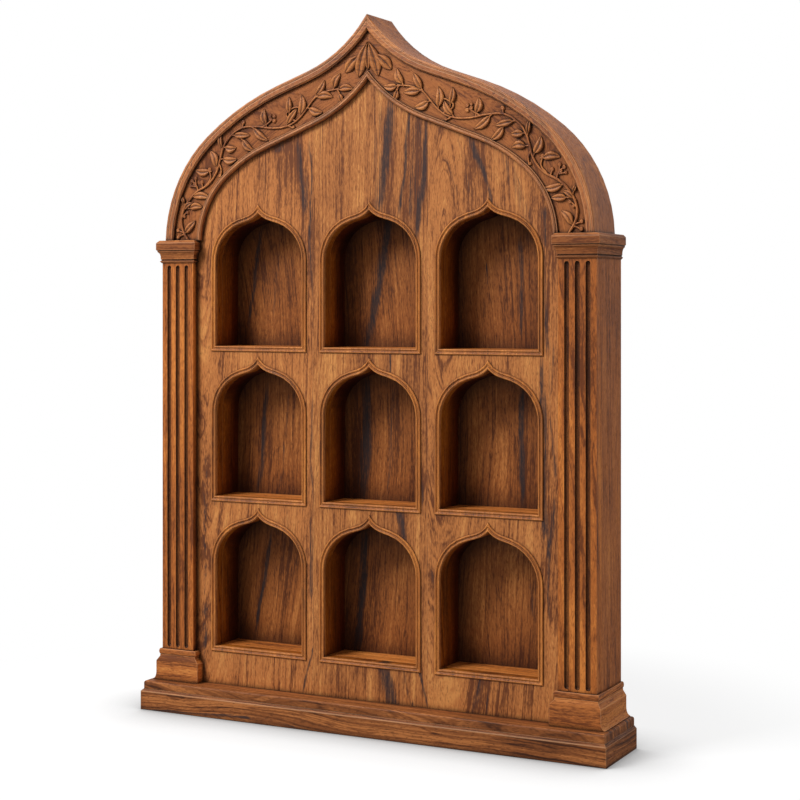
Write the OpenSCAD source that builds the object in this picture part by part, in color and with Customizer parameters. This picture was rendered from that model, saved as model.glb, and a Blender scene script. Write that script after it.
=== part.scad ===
// Wall display shelf: nine ogee-arched niches between fluted pilasters, on a two-tier
// plinth and under an ogee crown with a carved band. Millimetres, +Z up, front towards -Y,
// origin at the middle of the footprint. The wall is the plane at half the plinth depth.

/* [Niches] */
// Clear width of a niche
niche_w = 120; // [100:1:140]
// Height of a niche from its floor to the point of its arch
niche_h = 159; // [140:1:190]
// Slope of a niche arch at its point, in degrees
niche_point = 46; // [38:1:56]
// Depth of the niche behind the face board
tunnel_d = 36; // [28:1:90]
// Thickness of the posts between the niches
post_t = 30; // [22:1:42]
// Thickness of the outer walls of the outer niches
wall_t = 14; // [10:0.5:18]
// Thickness of the shelves
shelf_t = 12; // [9:0.5:18]
// Depth of the housings that hold the shelf ends
housing_d = 4; // [2:0.5:6]
// Wood left above the point of each niche
crown_t = 10; // [7:0.5:16]
// Thickness of the board that closes the top row
ceiling_t = 10; // [6:0.5:14]
// Height of the lowest floor above the base board
sill_h = 45.6; // [34:0.2:80]

/* [Face boards] */
// How far the face stands in front of the lap at its edges
face_step = 6; // [4:0.5:9]
// Thickness of the lapped edge of the face
face_lap = 8; // [5:0.5:12]
// Width of face between an outer niche and the pilaster
face_margin = 27; // [22:0.5:40]
// Width of the moulding round a niche
trim_w = 6.2; // [4:0.1:7]
// How far the moulding round a niche stands out
trim_proud = 2.2; // [1.6:0.1:3.2]

/* [Pilasters] */
// Width of a pilaster
pilaster_w = 44.6; // [38:0.2:56]
// Thickness of a pilaster board
pilaster_t = 15; // [12:0.5:20]
// Thickness of a side panel
side_t = 16; // [12:0.5:20]
// Width of a flute
flute_w = 5.6; // [4:0.2:7]
// Distance between the middles of two flutes
flute_pitch = 12.4; // [10:0.2:14]
// Height of the pedestal block under its top chamfer
pedestal_h = 23.1; // [16:0.1:40]
// Height of the pedestal's top chamfer and fillet
pedestal_cap = 8; // [6:0.5:12]
// How far the pedestal stands out to the front
pedestal_front = 4.4; // [3:0.2:7]
// How far the pedestal stands out to the outside
pedestal_out = 6.4; // [4:0.2:8]
// How far the pedestal stands out over the face
pedestal_in = 9; // [5:0.2:12]
// Height and width of the flare at the outer foot of the pedestal
flare = 4.6; // [2:0.2:6]
// Height of the bead above the pedestal
bead_h = 6.8; // [5:0.2:9]
// Height of the capital moulding
capital_h = 15.6; // [12:0.2:22]
// Thickness of the abacus
abacus_t = 12; // [9:0.5:16]
// How far the abacus stands out on each side
abacus_out = 6; // [4.6:0.2:8]
// Height and width of the bevel round the top of the abacus
abacus_bevel = 3; // [1.5:0.5:4]

/* [Arch crown] */
// Height of the arch spring above the floor of the top row
spring_up = 128; // [110:1:150]
// Distance of the centres of the arch shoulders below the top of the abacus
arch_drop = 4.5; // [0:0.5:8]
// Distance from the side of the case in to the side of the arch
arch_inset = 2.6; // [1:0.2:5]
// Slope of the crown at its point, in degrees
crown_point = 56; // [48:1:62]
// Slope of the inner moulding at its point, in degrees
inner_point = 49.5; // [42:0.5:56]
// Width of the rim
rim_w = 11; // [8:0.5:14]
// Width of the carved band where it springs
band_w = 33; // [28:0.5:38]
// Width of the inner moulding
inner_w = 6; // [4:0.5:8]
// How far the rim lies behind the front of the pilasters
rim_back = 1; // [0:0.5:3]
// Depth of the mouldings cut into the rim
rim_relief = 2; // [1:0.1:3]
// Depth of the inner moulding's inner edge behind the rim
inner_relief = 4.6; // [3:0.1:6]
// Depth of the sunk band below the rim
band_sink = 5.5; // [3.5:0.5:6.5]
// How far the carved leaves stand out of the band
leaf_t = 3.4; // [1.5:0.1:3.5]
// Width of the carved stem at its foot
stem_w = 3; // [2:0.1:4]

/* [Plinth] */
// Height of the lower tier
plinth_h = 25.5; // [18:0.5:40]
// Width and height of the step along its top edge
plinth_step = 3; // [2:0.5:4]
// Height of the upper tier
base_h = 9.4; // [8:0.2:14]
// Radius of the rounded edge of the upper tier
base_round = 2.6; // [1.5:0.1:4]
// How far the plinth stands out in front of the pilasters
plinth_front_out = 20; // [16:0.5:30]
// How far the plinth stands out beyond each side
plinth_side_out = 18.4; // [16:0.2:30]
// Width of the boards of the lower tier
plinth_board_w = 38; // [34:1:42]

/* [Back] */
// Thickness of the back panel
back_t = 6; // [4:0.5:9]
// Space between the back panel and the wall
back_gap = 12; // [10.5:0.5:18]
// Depth of the groove that holds the back panel
groove_d = 4; // [2:0.5:5]
// Height of the hanging rail
rail_h = 44; // [36:1:60]
// Thickness of the hanging rail
rail_t = 7; // [5:0.5:8]
// Distance from the top of the side panels down to the hanging rail
rail_down = 10; // [4:1:60]
// Distance between the two keyholes
keyhole_pitch = 400; // [200:10:440]
// Diameter of the round part of a keyhole
keyhole_dia = 10; // [9:0.5:12]
// Width of the slot of a keyhole
keyhole_slot = 5; // [4:0.5:5]
// Rise of the slot above the round part
keyhole_rise = 14; // [12:0.5:17]

/* [Screws] */
// Diameter of the plinth screws
screw_dia = 5; // [4:0.5:6]
// Length of the plinth screws
screw_len = 60; // [50:1:70]
// Diameter of the rail screws
rail_screw_dia = 3.5; // [3:0.5:4]
// Length of the rail screws
rail_screw_len = 28; // [20:1:34]
// Clearance round a screw
screw_fit = 0.05; // [0.02:0.01:0.2]

/* [Hidden] */
// Ogee shapes: shoulder radius and its angle, haunch radius and its angle, width of the
// hollow towards the point. Radii and width are shares of the half width.
niche_shape = [0.78, 50, 0.78, 74, 0.25];
crown_shape = [0.602, 50, 1.147, 70.5, 0.287];
inner_shape = [0.449, 48, 0.785, 69, 0.306];
// Points along the shoulder, the haunch and the hollow
niche_steps = [6, 2, 5];
crown_steps = [9, 5, 7];

// Carving, right half. Its places are in per cent: the way along the band from the spring to the
// point, then the way across it from the inner moulding to the rim.
vine_stem = [[0, 40], [4.2, 68], [7.7, 78], [12.7, 70], [17.3, 51], [21.6, 24], [27.2, 24], [31.6, 43],
  [36.3, 67], [40.2, 78], [45.7, 78], [50.4, 57], [55.7, 29], [61.2, 17], [65.9, 20], [70.3, 34],
  [75.3, 53], [79, 52], [84.8, 35]];
vine_stalks = [[[2.6, 57], [3.4, 85]], [[2.3, 57], [1.1, 83]], [[7.7, 78], [9.7, 63]],
  [[18.1, 46], [19.7, 64], [20.4, 86]], [[19.5, 62], [21.7, 78]], [[19.2, 61], [18.7, 82]],
  [[19.4, 37], [21.4, 49]], [[21, 29], [24.4, 29], [26.5, 50]], [[46.1, 77], [47.4, 86]],
  [[52.4, 46], [55.4, 48], [57.2, 52]], [[64.9, 19], [62.5, 45], [64.5, 51], [66.4, 53], [68, 48]],
  [[84.1, 37], [84.7, 21]], [[61.4, 17], [62.6, 6]], [[30.7, 39], [29.1, 18], [26.7, 8]]];
// Foot along and across, direction in degrees, length and width in millimetres
vine_leaves = [[2.6, 54, 134, 20, 9], [10.6, 74, 147, 14, 6.5], [11.3, 53, 179, 17, 8.5],
  [15.6, 55, 185, 22, 9], [12.5, 81, 71, 9, 4.5], [26.3, 48, 4, 19, 9.5], [29.1, 38, 69, 20, 10],
  [35.7, 68, 84, 17, 6], [36.9, 63, 182, 14, 9], [33, 39, 182, 17, 9.5], [42.1, 74, 186, 21, 8],
  [43.3, 46, 222, 19, 9], [49.4, 56, 215, 23, 9], [54.1, 48, 80, 17, 9.5], [61.2, 21, 123, 20, 8],
  [63.8, 46, 86, 18, 8], [67.4, 28, 92, 22, 10], [71.5, 33, 198, 18, 9.5], [75.4, 57, 119, 20, 8.5],
  [75.8, 51, 180, 20, 9.5], [82.7, 46, 114, 18, 9.5], [84.4, 22, 248, 12, 7], [84.7, 33, 181, 17, 8.5]];
// Middle along and across, diameter in millimetres
vine_berries = [[3.4, 86, 5], [1.1, 83, 5], [9.7, 63, 4.4], [8.1, 66, 4], [20.4, 86, 5], [21.7, 78, 4.4],
  [19.8, 70, 5.4], [18.7, 82, 4], [21.4, 49, 4.8], [26.5, 51, 5], [26.7, 8, 4], [47.4, 87, 5.6],
  [56.5, 55, 5], [57.4, 46, 5.4], [58.2, 56, 5], [57.1, 63, 4], [62.6, 8, 4.2]];
// Foot across and up from the top of the spray, direction, length, width
spray_leaves = [[-1, 0, -106, 42, 12], [1, 0, -74, 42, 12], [0, -4, -90, 24, 7],
  [-8, -16, -136, 28, 11], [8, -16, -44, 28, 11]];
spray_drop = 13;             // distance of the spray below the point of the band
leaf_steps = 8;              // points along the edge of a leaf
leaf_inset = 0.75;           // share of a leaf's width that its raised halves take
midrib = 0.14;               // share of a leaf's width that the groove of its midrib takes
leaf_border = 0.55;          // height of a leaf's border as a share of its middle's
carving_gap = 0.4;           // clearance between the carving and the mouldings
twig_w = 1.4;                // width of the short stalk of a leaf or berry

rail_cover = 3.6;            // wood of a side panel outside the end of the hanging rail
rail_screw_in = 8.4;         // distance of the rail screws in from the side
keyhole_up = 7;              // wood below a keyhole
screw_edge = 8;              // distance of the inner plinth screws from the edge of the plinth boards

// Depths are measured forwards from the wall
back_d = back_gap + back_t;
tunnel_front = back_d + tunnel_d;
lap_d = tunnel_front + face_lap;
face_d = lap_d + face_step;
body_d = lap_d + pilaster_t;
rim_d = body_d - rim_back;
band_d = rim_d - band_sink;
plinth_d = body_d + plinth_front_out;

// Half widths
column_pitch = niche_w + post_t;
outer_x = column_pitch + niche_w / 2;
shaft_x = outer_x + face_margin;
side_x = shaft_x + pilaster_w;
plinth_x = side_x + plinth_side_out;
arch_x = side_x - arch_inset;
inner_x = arch_x - rim_w - band_w - inner_w;
wall_x = outer_x + wall_t;

// Heights
base_z = plinth_h + base_h;
row_pitch = niche_h + crown_t + shelf_t;
floor_z = base_z + sill_h;
top_floor_z = floor_z + 2 * row_pitch;
spring_z = top_floor_z + spring_up;
abacus_z = spring_z - abacus_t;
capital_z = abacus_z - capital_h;
pedestal_z = base_z + pedestal_h + pedestal_cap;
shaft_z = pedestal_z + bead_h;
ceiling_z = top_floor_z + niche_h + crown_t;
rail_z = abacus_z - rail_down - rail_h;
rail_x = side_x - rail_cover;
rail_screw_x = side_x - rail_screw_in;
keyhole_z = rail_z + keyhole_dia / 2 + keyhole_up;

screw_head = 2;      // ratio of a screw's head to its shank
head_sink = 2;       // depth of a plinth screw's head below the wood
far = 2000;          // longer than the shelf, for cutting
tiny = 0.01;         // overlap of a cut through a face
smooth = 48;

wood = "#A2623A";
wood_light = "#B97A48";
wood_dark = "#7E4A2B";
steel = "#8A8883";

// Y of the plane that lies this far in front of the wall
function at(d) = plinth_d / 2 - d;

function column_x(c) = (c - 2) * column_pitch;
function row_z(r) = floor_z + (r - 1) * row_pitch;

// Points on an arc about c
function arc(c, r, from, to, steps) =
  [for (i = [0:steps]) let (a = from + (to - from) * i / steps) c + r * [cos(a), sin(a)]];

// Arc centres, radii and slopes of an ogee of half width w whose spring is at height 0
function shoulder_c(w, k) = [w - k[0] * w, 0];
function haunch_c(w, k) = shoulder_c(w, k) + (k[0] - k[2]) * w * [cos(k[1]), sin(k[1])];
function haunch_end(w, k) = haunch_c(w, k) + k[2] * w * [cos(k[3]), sin(k[3])];
function hollow_r(w, k, point) = k[4] * w / (sin(point) - cos(k[3]));
function hollow_start(w, k) = let (p = haunch_end(w, k), x = k[4] * w)
  [x, p[1] + (p[0] - x) / tan(k[3])];
function hollow_c(w, k, point) = hollow_start(w, k)
  + hollow_r(w, k, point) * [cos(k[3]), sin(k[3])];
function ogee_rise(w, k, point) = hollow_c(w, k, point)[1] - hollow_r(w, k, point) * cos(point);

// Right half of an ogee from the height z0 to its point, moved inwards by d
function ogee_half(w, k, point, d, n, z0 = 0) = let (
    c = hollow_c(w, k, point), r = hollow_r(w, k, point) + d,
    end = asin(hollow_r(w, k, point) * sin(point) / r))
  concat(arc(shoulder_c(w, k), k[0] * w - d, asin(z0 / (k[0] * w - d)), k[1], n[0]),
    [for (i = [1:n[1]]) let (a = k[1] + (k[3] - k[1]) * i / n[1])
      haunch_c(w, k) + (k[2] * w - d) * [cos(a), sin(a)]],
    [for (i = [0:n[2]]) let (a = 90 - k[3] + (end + k[3] - 90) * i / n[2])
      c - r * [sin(a), cos(a)]]);

function mirrored(pts) = [for (i = [len(pts) - 1:-1:0]) [-pts[i][0], pts[i][1]]];

// Closed outline: an ogee on straight legs, moved inwards by d
function ogee_outline(w, k, point, leg, d, n) = let (half = ogee_half(w, k, point, d, n))
  concat([[w - d, d - leg]], half, [for (i = [1:len(half) - 1]) mirrored(half)[i]],
    [[d - w, d - leg]]);

niche_rise = ogee_rise(niche_w / 2, niche_shape, niche_point);
niche_leg = niche_h - niche_rise;

// Opening of a niche, seen from the front, with its spring at height 0
function opening(d) = ogee_outline(niche_w / 2, niche_shape, niche_point, niche_leg, d, niche_steps);

// Curves of the crown, right half, seen from the front, from the top of the abacus up
function dropped(pts) = [for (p = pts) p - [0, arch_drop]];
function crown_curve(d) = dropped(ogee_half(arch_x, crown_shape, crown_point, d, crown_steps, arch_drop));
function inner_curve(d) = dropped(ogee_half(inner_x, inner_shape, inner_point, d, crown_steps, arch_drop));
band_top = crown_curve(rim_w)[len(crown_curve(rim_w)) - 1][1];

// Box from x0 to x1, from depth d0 forwards to depth d1, from z0 to z1
module board(x0, x1, d0, d1, z0, z1)
  translate([x0, at(d1), z0]) cube([x1 - x0, d1 - d0, z1 - z0]);

// Front view outline, solid from depth d0 forwards to depth d1
module slab(d0, d1) translate([0, at(d0), 0]) rotate([90, 0, 0]) linear_extrude(d1 - d0) children();

// Side view outline of depth and height, solid from x0 to x1
module bar(x0, x1) translate([x0, at(0), 0]) rotate([90, 0, 90]) linear_extrude(x1 - x0)
  mirror([1, 0]) children();

module left() mirror([1, 0, 0]) children();

// Moulding swept along curves: each row is one line of the profile, front view points at a depth
module swept(rows, closed) {
  m = len(rows);
  n = len(rows[0][0]);
  pts = [for (row = rows) for (p = row[0]) [p[0], at(row[1]), p[1]]];
  turns = closed ? n : n - 1;
  sides = [for (j = [0:m - 1]) for (i = [0:turns - 1]) let (k = (j + 1) % m, l = (i + 1) % n)
    for (f = [[j * n + i, k * n + i, j * n + l], [k * n + i, k * n + l, j * n + l]]) f];
  ends = closed ? [] : [[for (j = [m - 1:-1:0]) j * n], [for (j = [0:m - 1]) j * n + n - 1]];
  polyhedron(pts, concat(sides, ends), convexity = 10);
}

// Countersunk screw along +Z from the face of its head
module screw(dia, length) rotate_extrude($fn = smooth)
  polygon([[0, 0], [dia * screw_head / 2, 0], [dia / 2, dia * (screw_head - 1) / 2],
    [dia / 2, length - dia], [0, length]]);

// Hole for that screw, open in front of the head
module screw_hole(dia, length, sink) rotate_extrude($fn = smooth)
  polygon([[0, -sink - 1], [dia * screw_head / 2 + screw_fit, -sink - 1],
    [dia * screw_head / 2 + screw_fit, -screw_fit], [dia / 2 + screw_fit, dia * (screw_head - 1) / 2],
    [dia / 2 + screw_fit, length + screw_fit], [0, length + screw_fit]]);

plinth_screw_at = [for (s = [-1, 1]) for (p = [[side_x - side_t / 2, lap_d / 2],
  [outer_x + wall_t / 2, plinth_board_w - screw_edge],
  [column_pitch / 2, plinth_board_w - screw_edge]]) [s * p[0], p[1]]];
rail_screw_at = [for (s = [-1, 1]) for (z = [rail_z + rail_h / 4, rail_z + rail_h * 3 / 4])
  [s * rail_screw_x, z]];

module at_plinth_screws() for (p = plinth_screw_at) translate([p[0], at(p[1]), head_sink]) children();
module at_rail_screws() for (p = rail_screw_at)
  translate([p[0], at(0), p[1]]) rotate([90, 0, 0]) children();
module plinth_screw_holes() at_plinth_screws() screw_hole(screw_dia, screw_len, head_sink);
module rail_screw_holes() at_rail_screws() screw_hole(rail_screw_dia, rail_screw_len, 0);

// Plinth

module plinth_plan(points) linear_extrude(plinth_h) polygon([for (p = points) [p[0], at(p[1])]]);

module plinth_front() color(wood) intersection() {
  bar(-plinth_x, plinth_x) polygon([[0, 0], [plinth_d, 0], [plinth_d, plinth_h - plinth_step],
    [plinth_d - plinth_step, plinth_h], [0, plinth_h]]);
  plinth_plan([[-plinth_x, plinth_d], [plinth_x, plinth_d],
    [plinth_x - plinth_board_w, plinth_d - plinth_board_w],
    [plinth_board_w - plinth_x, plinth_d - plinth_board_w]]);
}

module plinth_right() color(wood) difference() {
  intersection() {
    slab(0, plinth_d) polygon([[0, 0], [plinth_x, 0], [plinth_x, plinth_h - plinth_step],
      [plinth_x - plinth_step, plinth_h], [0, plinth_h]]);
    plinth_plan([[plinth_x, plinth_d], [plinth_x, 0], [plinth_x - plinth_board_w, 0],
      [plinth_x - plinth_board_w, plinth_d - plinth_board_w]]);
  }
  plinth_screw_holes();
}

module plinth_left() left() plinth_right();

module plinth_back() color(wood_dark) difference() {
  board(plinth_board_w - plinth_x, plinth_x - plinth_board_w, 0, plinth_board_w, 0, plinth_h);
  plinth_screw_holes();
}

module base_board() {
  x = plinth_x - plinth_step;
  d = plinth_d - plinth_step;
  z = base_z - base_round;
  color(wood) difference() {
    intersection() {
      bar(-x, x) polygon(concat([[0, plinth_h], [d, plinth_h]],
        arc([d - base_round, z], base_round, 0, 90, 6), [[0, base_z]]));
      slab(0, d) polygon(concat([[-x, plinth_h], [x, plinth_h]],
        arc([x - base_round, z], base_round, 0, 90, 6), arc([base_round - x, z], base_round, 90, 180, 6)));
    }
    plinth_screw_holes();
  }
}

module plinth_screws() color(steel) at_plinth_screws() screw(screw_dia, screw_len);

// Case

module side_right() color(wood) difference() {
  board(side_x - side_t, side_x, 0, lap_d, base_z, abacus_z);
  board(side_x - side_t - tiny, side_x - side_t + groove_d, back_gap, back_d, base_z - 1, abacus_z + 1);
  board(side_x - side_t - tiny, rail_x, -tiny, rail_t, rail_z, rail_z + rail_h);
  plinth_screw_holes();
  rail_screw_holes();
}

module side_left() left() side_right();

module post_outer_right() color(wood) difference() {
  board(outer_x, wall_x, back_d, tunnel_front, base_z, ceiling_z);
  for (r = [1:3]) board(outer_x - tiny, outer_x + housing_d, back_d - 1, tunnel_front + 1,
    row_z(r) - shelf_t, row_z(r));
  plinth_screw_holes();
}

module post_outer_left() left() post_outer_right();

module divider_right() color(wood) difference() {
  board(niche_w / 2, niche_w / 2 + post_t, back_d, tunnel_front, base_z, ceiling_z);
  for (r = [1:3]) board(niche_w / 2 - 1, niche_w / 2 + post_t + 1, back_d + tunnel_d / 2,
    tunnel_front + 1, row_z(r) - shelf_t, row_z(r));
  plinth_screw_holes();
}

module divider_left() left() divider_right();

module shelf(r) color(wood_light) difference() {
  board(-outer_x - housing_d, outer_x + housing_d, back_d, tunnel_front, row_z(r) - shelf_t, row_z(r));
  for (x = [-niche_w / 2 - post_t, niche_w / 2]) board(x, x + post_t, back_d - 1,
    back_d + tunnel_d / 2, row_z(r) - shelf_t - 1, row_z(r) + 1);
}

module ceiling_board() color(wood)
  board(-wall_x, wall_x, back_d, tunnel_front, ceiling_z, ceiling_z + ceiling_t);

// Block with the ogee soffit of one niche, between two posts and under the next shelf
module arch_block(r, c) color(wood_dark) translate([column_x(c), 0, row_z(r) + niche_leg])
  slab(back_d, tunnel_front) difference() {
    translate([-niche_w / 2, 0]) square([niche_w, niche_rise + crown_t]);
    polygon(opening(0));
  }

module back_panel() color(wood_light) slab(back_gap, back_d) {
  lap_field();
  translate([side_t - side_x - groove_d, base_z])
    square([2 * (side_x - side_t + groove_d), abacus_z - base_z]);
}

module hanging_rail() color(wood_dark) difference() {
  board(-rail_x, rail_x, 0, rail_t, rail_z, rail_z + rail_h);
  for (s = [-1, 1]) translate([s * keyhole_pitch / 2, at(-1), keyhole_z]) rotate([90, 0, 0]) {
    cylinder(d = keyhole_dia, h = rail_t + 2, $fn = smooth);
    translate([-keyhole_slot / 2, 0, 0]) cube([keyhole_slot, keyhole_rise, rail_t + 2]);
    translate([0, keyhole_rise, 0]) cylinder(d = keyhole_slot, h = rail_t + 2, $fn = smooth);
  }
  rail_screw_holes();
}

module rail_screws() color(steel) at_rail_screws() screw(rail_screw_dia, rail_screw_len);

// Face

// Inside of the crown, moved in by d, on a straight stretch down to z0
module crown_field(d, z0) polygon(concat([[arch_x - d, z0]],
  [for (p = crown_curve(d)) p + [0, spring_z]],
  [for (p = mirrored(crown_curve(d))) p + [0, spring_z]], [[d - arch_x, z0]]));

// Inside of the inner moulding, with the field between the pilasters below it
module inner_field() polygon(concat([[shaft_x, base_z], [shaft_x, spring_z]],
  [for (p = inner_curve(0)) p + [0, spring_z]],
  [for (p = mirrored(inner_curve(0))) p + [0, spring_z]], [[-shaft_x, spring_z], [-shaft_x, base_z]]));

// Whole front of the case between the side panels and inside the crown
module lap_field() {
  translate([side_t - side_x, base_z]) square([2 * (side_x - side_t), spring_z - base_z]);
  intersection() {
    crown_field(rim_w, spring_z - 1);
    translate([side_t - side_x, 0]) square([2 * (side_x - side_t), far]);
  }
}

// Part of the face from x0 to x1, with the openings of column c
module face(x0, x1, c) color(wood_light) difference() {
  intersection() {
    union() {
      slab(tunnel_front, lap_d) lap_field();
      slab(lap_d, face_d) inner_field();
    }
    board(x0, x1, 0, face_d + 1, base_z, far);
  }
  for (r = [1:3]) translate([column_x(c), 0, row_z(r) + niche_leg])
    slab(tunnel_front - 1, face_d + 1) polygon(opening(0));
}

module face_left() face(-side_x, -column_pitch / 2, 1);
module face_centre() face(-column_pitch / 2, column_pitch / 2, 2);
module face_right() face(column_pitch / 2, side_x, 3);

// Double bead round one niche: share of the width out from the opening, share of the height
trim_profile = [[0, 0], [0, 0.55], [0.2, 0.85], [0.47, 0.3], [0.62, 0.72], [0.82, 1], [1, 0.6], [1, 0]];

module niche_trim(r, c) color(wood_light) translate([column_x(c), 0, row_z(r) + niche_leg])
  swept([for (p = trim_profile) [opening(-p[0] * trim_w), face_d + p[1] * trim_proud]], true);

// Pilasters, right side

module flute() {
  x = shaft_x + pilaster_w / 2;
  z0 = shaft_z + flute_w;
  z1 = capital_z - flute_w;
  for (i = [-1:1]) translate([x + i * flute_pitch, at(body_d), z0]) {
    cylinder(d = flute_w, h = z1 - z0, $fn = smooth);
    sphere(d = flute_w, $fn = smooth);
    translate([0, 0, z1 - z0]) sphere(d = flute_w, $fn = smooth);
  }
}

module pilaster_right() color(wood_light) difference() {
  board(shaft_x, side_x, lap_d, body_d, base_z, abacus_z);
  flute();
}

module pilaster_left() left() pilaster_right();

// Moulding round the front, outer and inner sides of a pilaster and along the side panel.
// Each point of the profile is a share of the overhang and a height.
module wrapped(profile, front, out, in) difference() {
  top = profile[len(profile) - 1][1];
  intersection() {
    slab(0, far) polygon(concat([for (p = profile) [side_x + p[0] * out, p[1]]],
      [for (i = [len(profile) - 1:-1:0]) [shaft_x - profile[i][0] * in, profile[i][1]]]));
    bar(shaft_x - in - 1, side_x + out + 1) polygon(concat([[0, profile[0][1]]],
      [for (p = profile) [body_d + p[0] * front, p[1]]], [[0, top]]));
  }
  children();
}

// Space of the case itself, which the mouldings go round
module case_core() {
  board(0, side_x, -1, lap_d, base_z - 1, far);
  board(0, shaft_x, -1, face_d, base_z - 1, far);
  board(shaft_x - tiny, side_x, -1, body_d, base_z - 1, far);
}

module pedestal_right() {
  z1 = base_z + pedestal_h;
  cap = 0.4;           // share of the overhang left above the chamfer
  color(wood) union() {
    wrapped([[1, base_z], [1, z1], [cap, z1 + pedestal_cap * 0.7], [cap, pedestal_z]],
      pedestal_front, pedestal_out, pedestal_in) case_core();
    slab(0, body_d + pedestal_front) polygon(concat([[side_x + 1, base_z]],
      [[side_x + pedestal_out + flare, base_z]],
      [for (a = [90:-15:0]) [side_x + pedestal_out + flare * (1 - cos(a)),
        base_z + 1 + 2 * flare * (1 - sin(a))]],
      [[side_x + 1, base_z + 1 + 2 * flare]]));
  }
}

module pedestal_left() left() pedestal_right();

module base_bead_right() color(wood) wrapped([for (i = [0:8]) let (a = -90 + 180 * i / 8)
  [0.3 + 0.25 * cos(a), pedestal_z + bead_h / 2 * (1 + sin(a))]],
  pedestal_front, pedestal_out, pedestal_in) case_core();

module base_bead_left() left() base_bead_right();

capital_profile = [[0.1, 0], [0.42, 0.13], [0.1, 0.26], [0.28, 0.3], [0.3, 0.52], [0.38, 0.68],
  [0.55, 0.8], [0.78, 0.88], [0.78, 1]];

module capital_right() color(wood) wrapped([for (p = capital_profile) [p[0], capital_z + p[1] * capital_h]],
  abacus_out, abacus_out, abacus_out) case_core();

module capital_left() left() capital_right();

// The abacus lies on top of the pilaster and the side panel, in front of the face
module abacus_right() {
  bevel = 1 - abacus_bevel / abacus_out;
  color(wood) wrapped([[1, abacus_z], [1, spring_z - abacus_bevel], [bevel, spring_z]],
    abacus_out, abacus_out, abacus_out) union() {
      board(0, side_x - side_t, -1, lap_d, base_z, far);
      board(0, shaft_x, -1, face_d, base_z, far);
    }
}

module abacus_left() left() abacus_right();

// Arch crown, right half

// Profile of the rim: share of its width in from the outside, share of its relief behind the front
rim_profile = [[0, 0.7], [0.13, 0], [0.33, 0], [0.38, 0.45], [0.45, 0.15], [0.85, 0.15], [1, 1]];

module arch_rim_right() color(wood_light) translate([0, 0, spring_z])
  swept(concat([[crown_curve(0), back_gap]],
    [for (p = rim_profile) [crown_curve(p[0] * rim_w), rim_d - p[1] * rim_relief]],
    [[crown_curve(rim_w), back_gap]]), false);

module arch_rim_left() left() arch_rim_right();

// Profile of the inner moulding: share of its width outwards, share of its relief behind the rim
inner_profile = [[0, 1], [0.1, 0.52], [0.35, 0.26], [0.6, 0.35], [0.76, 0.7], [0.86, 0.57], [1, 0.61]];

module arch_bead_right() color(wood_light) translate([0, 0, spring_z])
  swept(concat([[inner_curve(-inner_w), lap_d]],
    [for (i = [len(inner_profile) - 1:-1:0]) let (p = inner_profile[i])
      [inner_curve(-p[0] * inner_w), rim_d - p[1] * inner_relief]],
    [[inner_curve(0), lap_d]]), false);

module arch_bead_left() left() arch_bead_right();

// Sunk band between the rim and the inner moulding, kept clear of both by d
module band_field(d) {
  inside = inner_curve(-inner_w - d);
  polygon(concat(crown_curve(rim_w + d), [for (i = [len(inside) - 1:-1:0]) inside[i]]));
}

module frieze_right() color(wood) translate([0, 0, spring_z]) slab(lap_d, band_d) band_field(0);

module frieze_left() left() frieze_right();

// Carving: leaves, stems and berries that stand on the band. Each leaf has a thin border round
// two raised halves, with a groove between them for its midrib.

// Points along one edge of a leaf from its foot to its tip, fullest at two fifths of its length
function leaf_edge(length, width) = [for (i = [0:leaf_steps]) let (t = i / leaf_steps)
  [length * t, width / 2 * pow(sin(180 * pow(t, 0.8)), 0.9)]];

module leaf(foot, angle, length, width) translate(foot) rotate(angle) {
  edge = leaf_edge(length, width);
  polygon(concat(edge, [for (i = [leaf_steps - 1:-1:1]) [edge[i][0], -edge[i][1]]]));
}

module leaf_halves(foot, angle, length, width) translate(foot) rotate(angle) for (s = [-1, 1]) {
  edge = leaf_edge(length, width);
  polygon(concat([for (i = [1:leaf_steps - 1]) [edge[i][0], s * leaf_inset * edge[i][1]]],
    [for (i = [leaf_steps - 1, 1]) [edge[i][0], s * midrib * width / 2]]));
}

// Smooth line through the given points, in three steps from each to the next
function smooth_line(pts) = concat([for (i = [0:len(pts) - 2]) for (j = [0:2]) let (
    a = pts[max(i - 1, 0)], b = pts[i], c = pts[i + 1], d = pts[min(i + 2, len(pts) - 1)], t = j / 3)
  (2 * b + t * (c - a) + t * t * (2 * a - 5 * b + 4 * c - d) + t * t * t * (3 * b - a - 3 * c + d)) / 2],
  [pts[len(pts) - 1]]);

// Stem along a smooth line, as wide as w0 at its foot and w1 at its end
module stem(line, w0, w1) {
  n = len(line) - 1;
  side = [for (i = [0:n]) let (u = line[min(i + 1, n)] - line[max(i - 1, 0)])
    [-u[1], u[0]] / norm(u) * (w0 + (w1 - w0) * i / n) / 2];
  polygon(concat([for (i = [0:n]) line[i] + side[i]], [for (i = [n:-1:0]) line[i] - side[i]]));
}

// Short stalk between two points
module twig(a, b) if (norm(b - a) > tiny) {
  side = [a[1] - b[1], b[0] - a[0]] / norm(b - a) * twig_w / 2;
  polygon([a + side, a - side, b - side, b + side]);
}

// Keeps what is carved inside the band and clear of the mouldings
module in_band(sides) intersection() {
  union() for (s = sides) scale([s, 1]) band_field(carving_gap);
  children();
}

// Carving on the band: its outline, and what stands higher on it
module carved(sides) color(wood_light) translate([0, 0, spring_z]) {
  slab(band_d, band_d + leaf_t * leaf_border) in_band(sides) children(0);
  slab(band_d + leaf_t * leaf_border / 2, band_d + leaf_t) in_band(sides) children(1);
}

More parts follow.
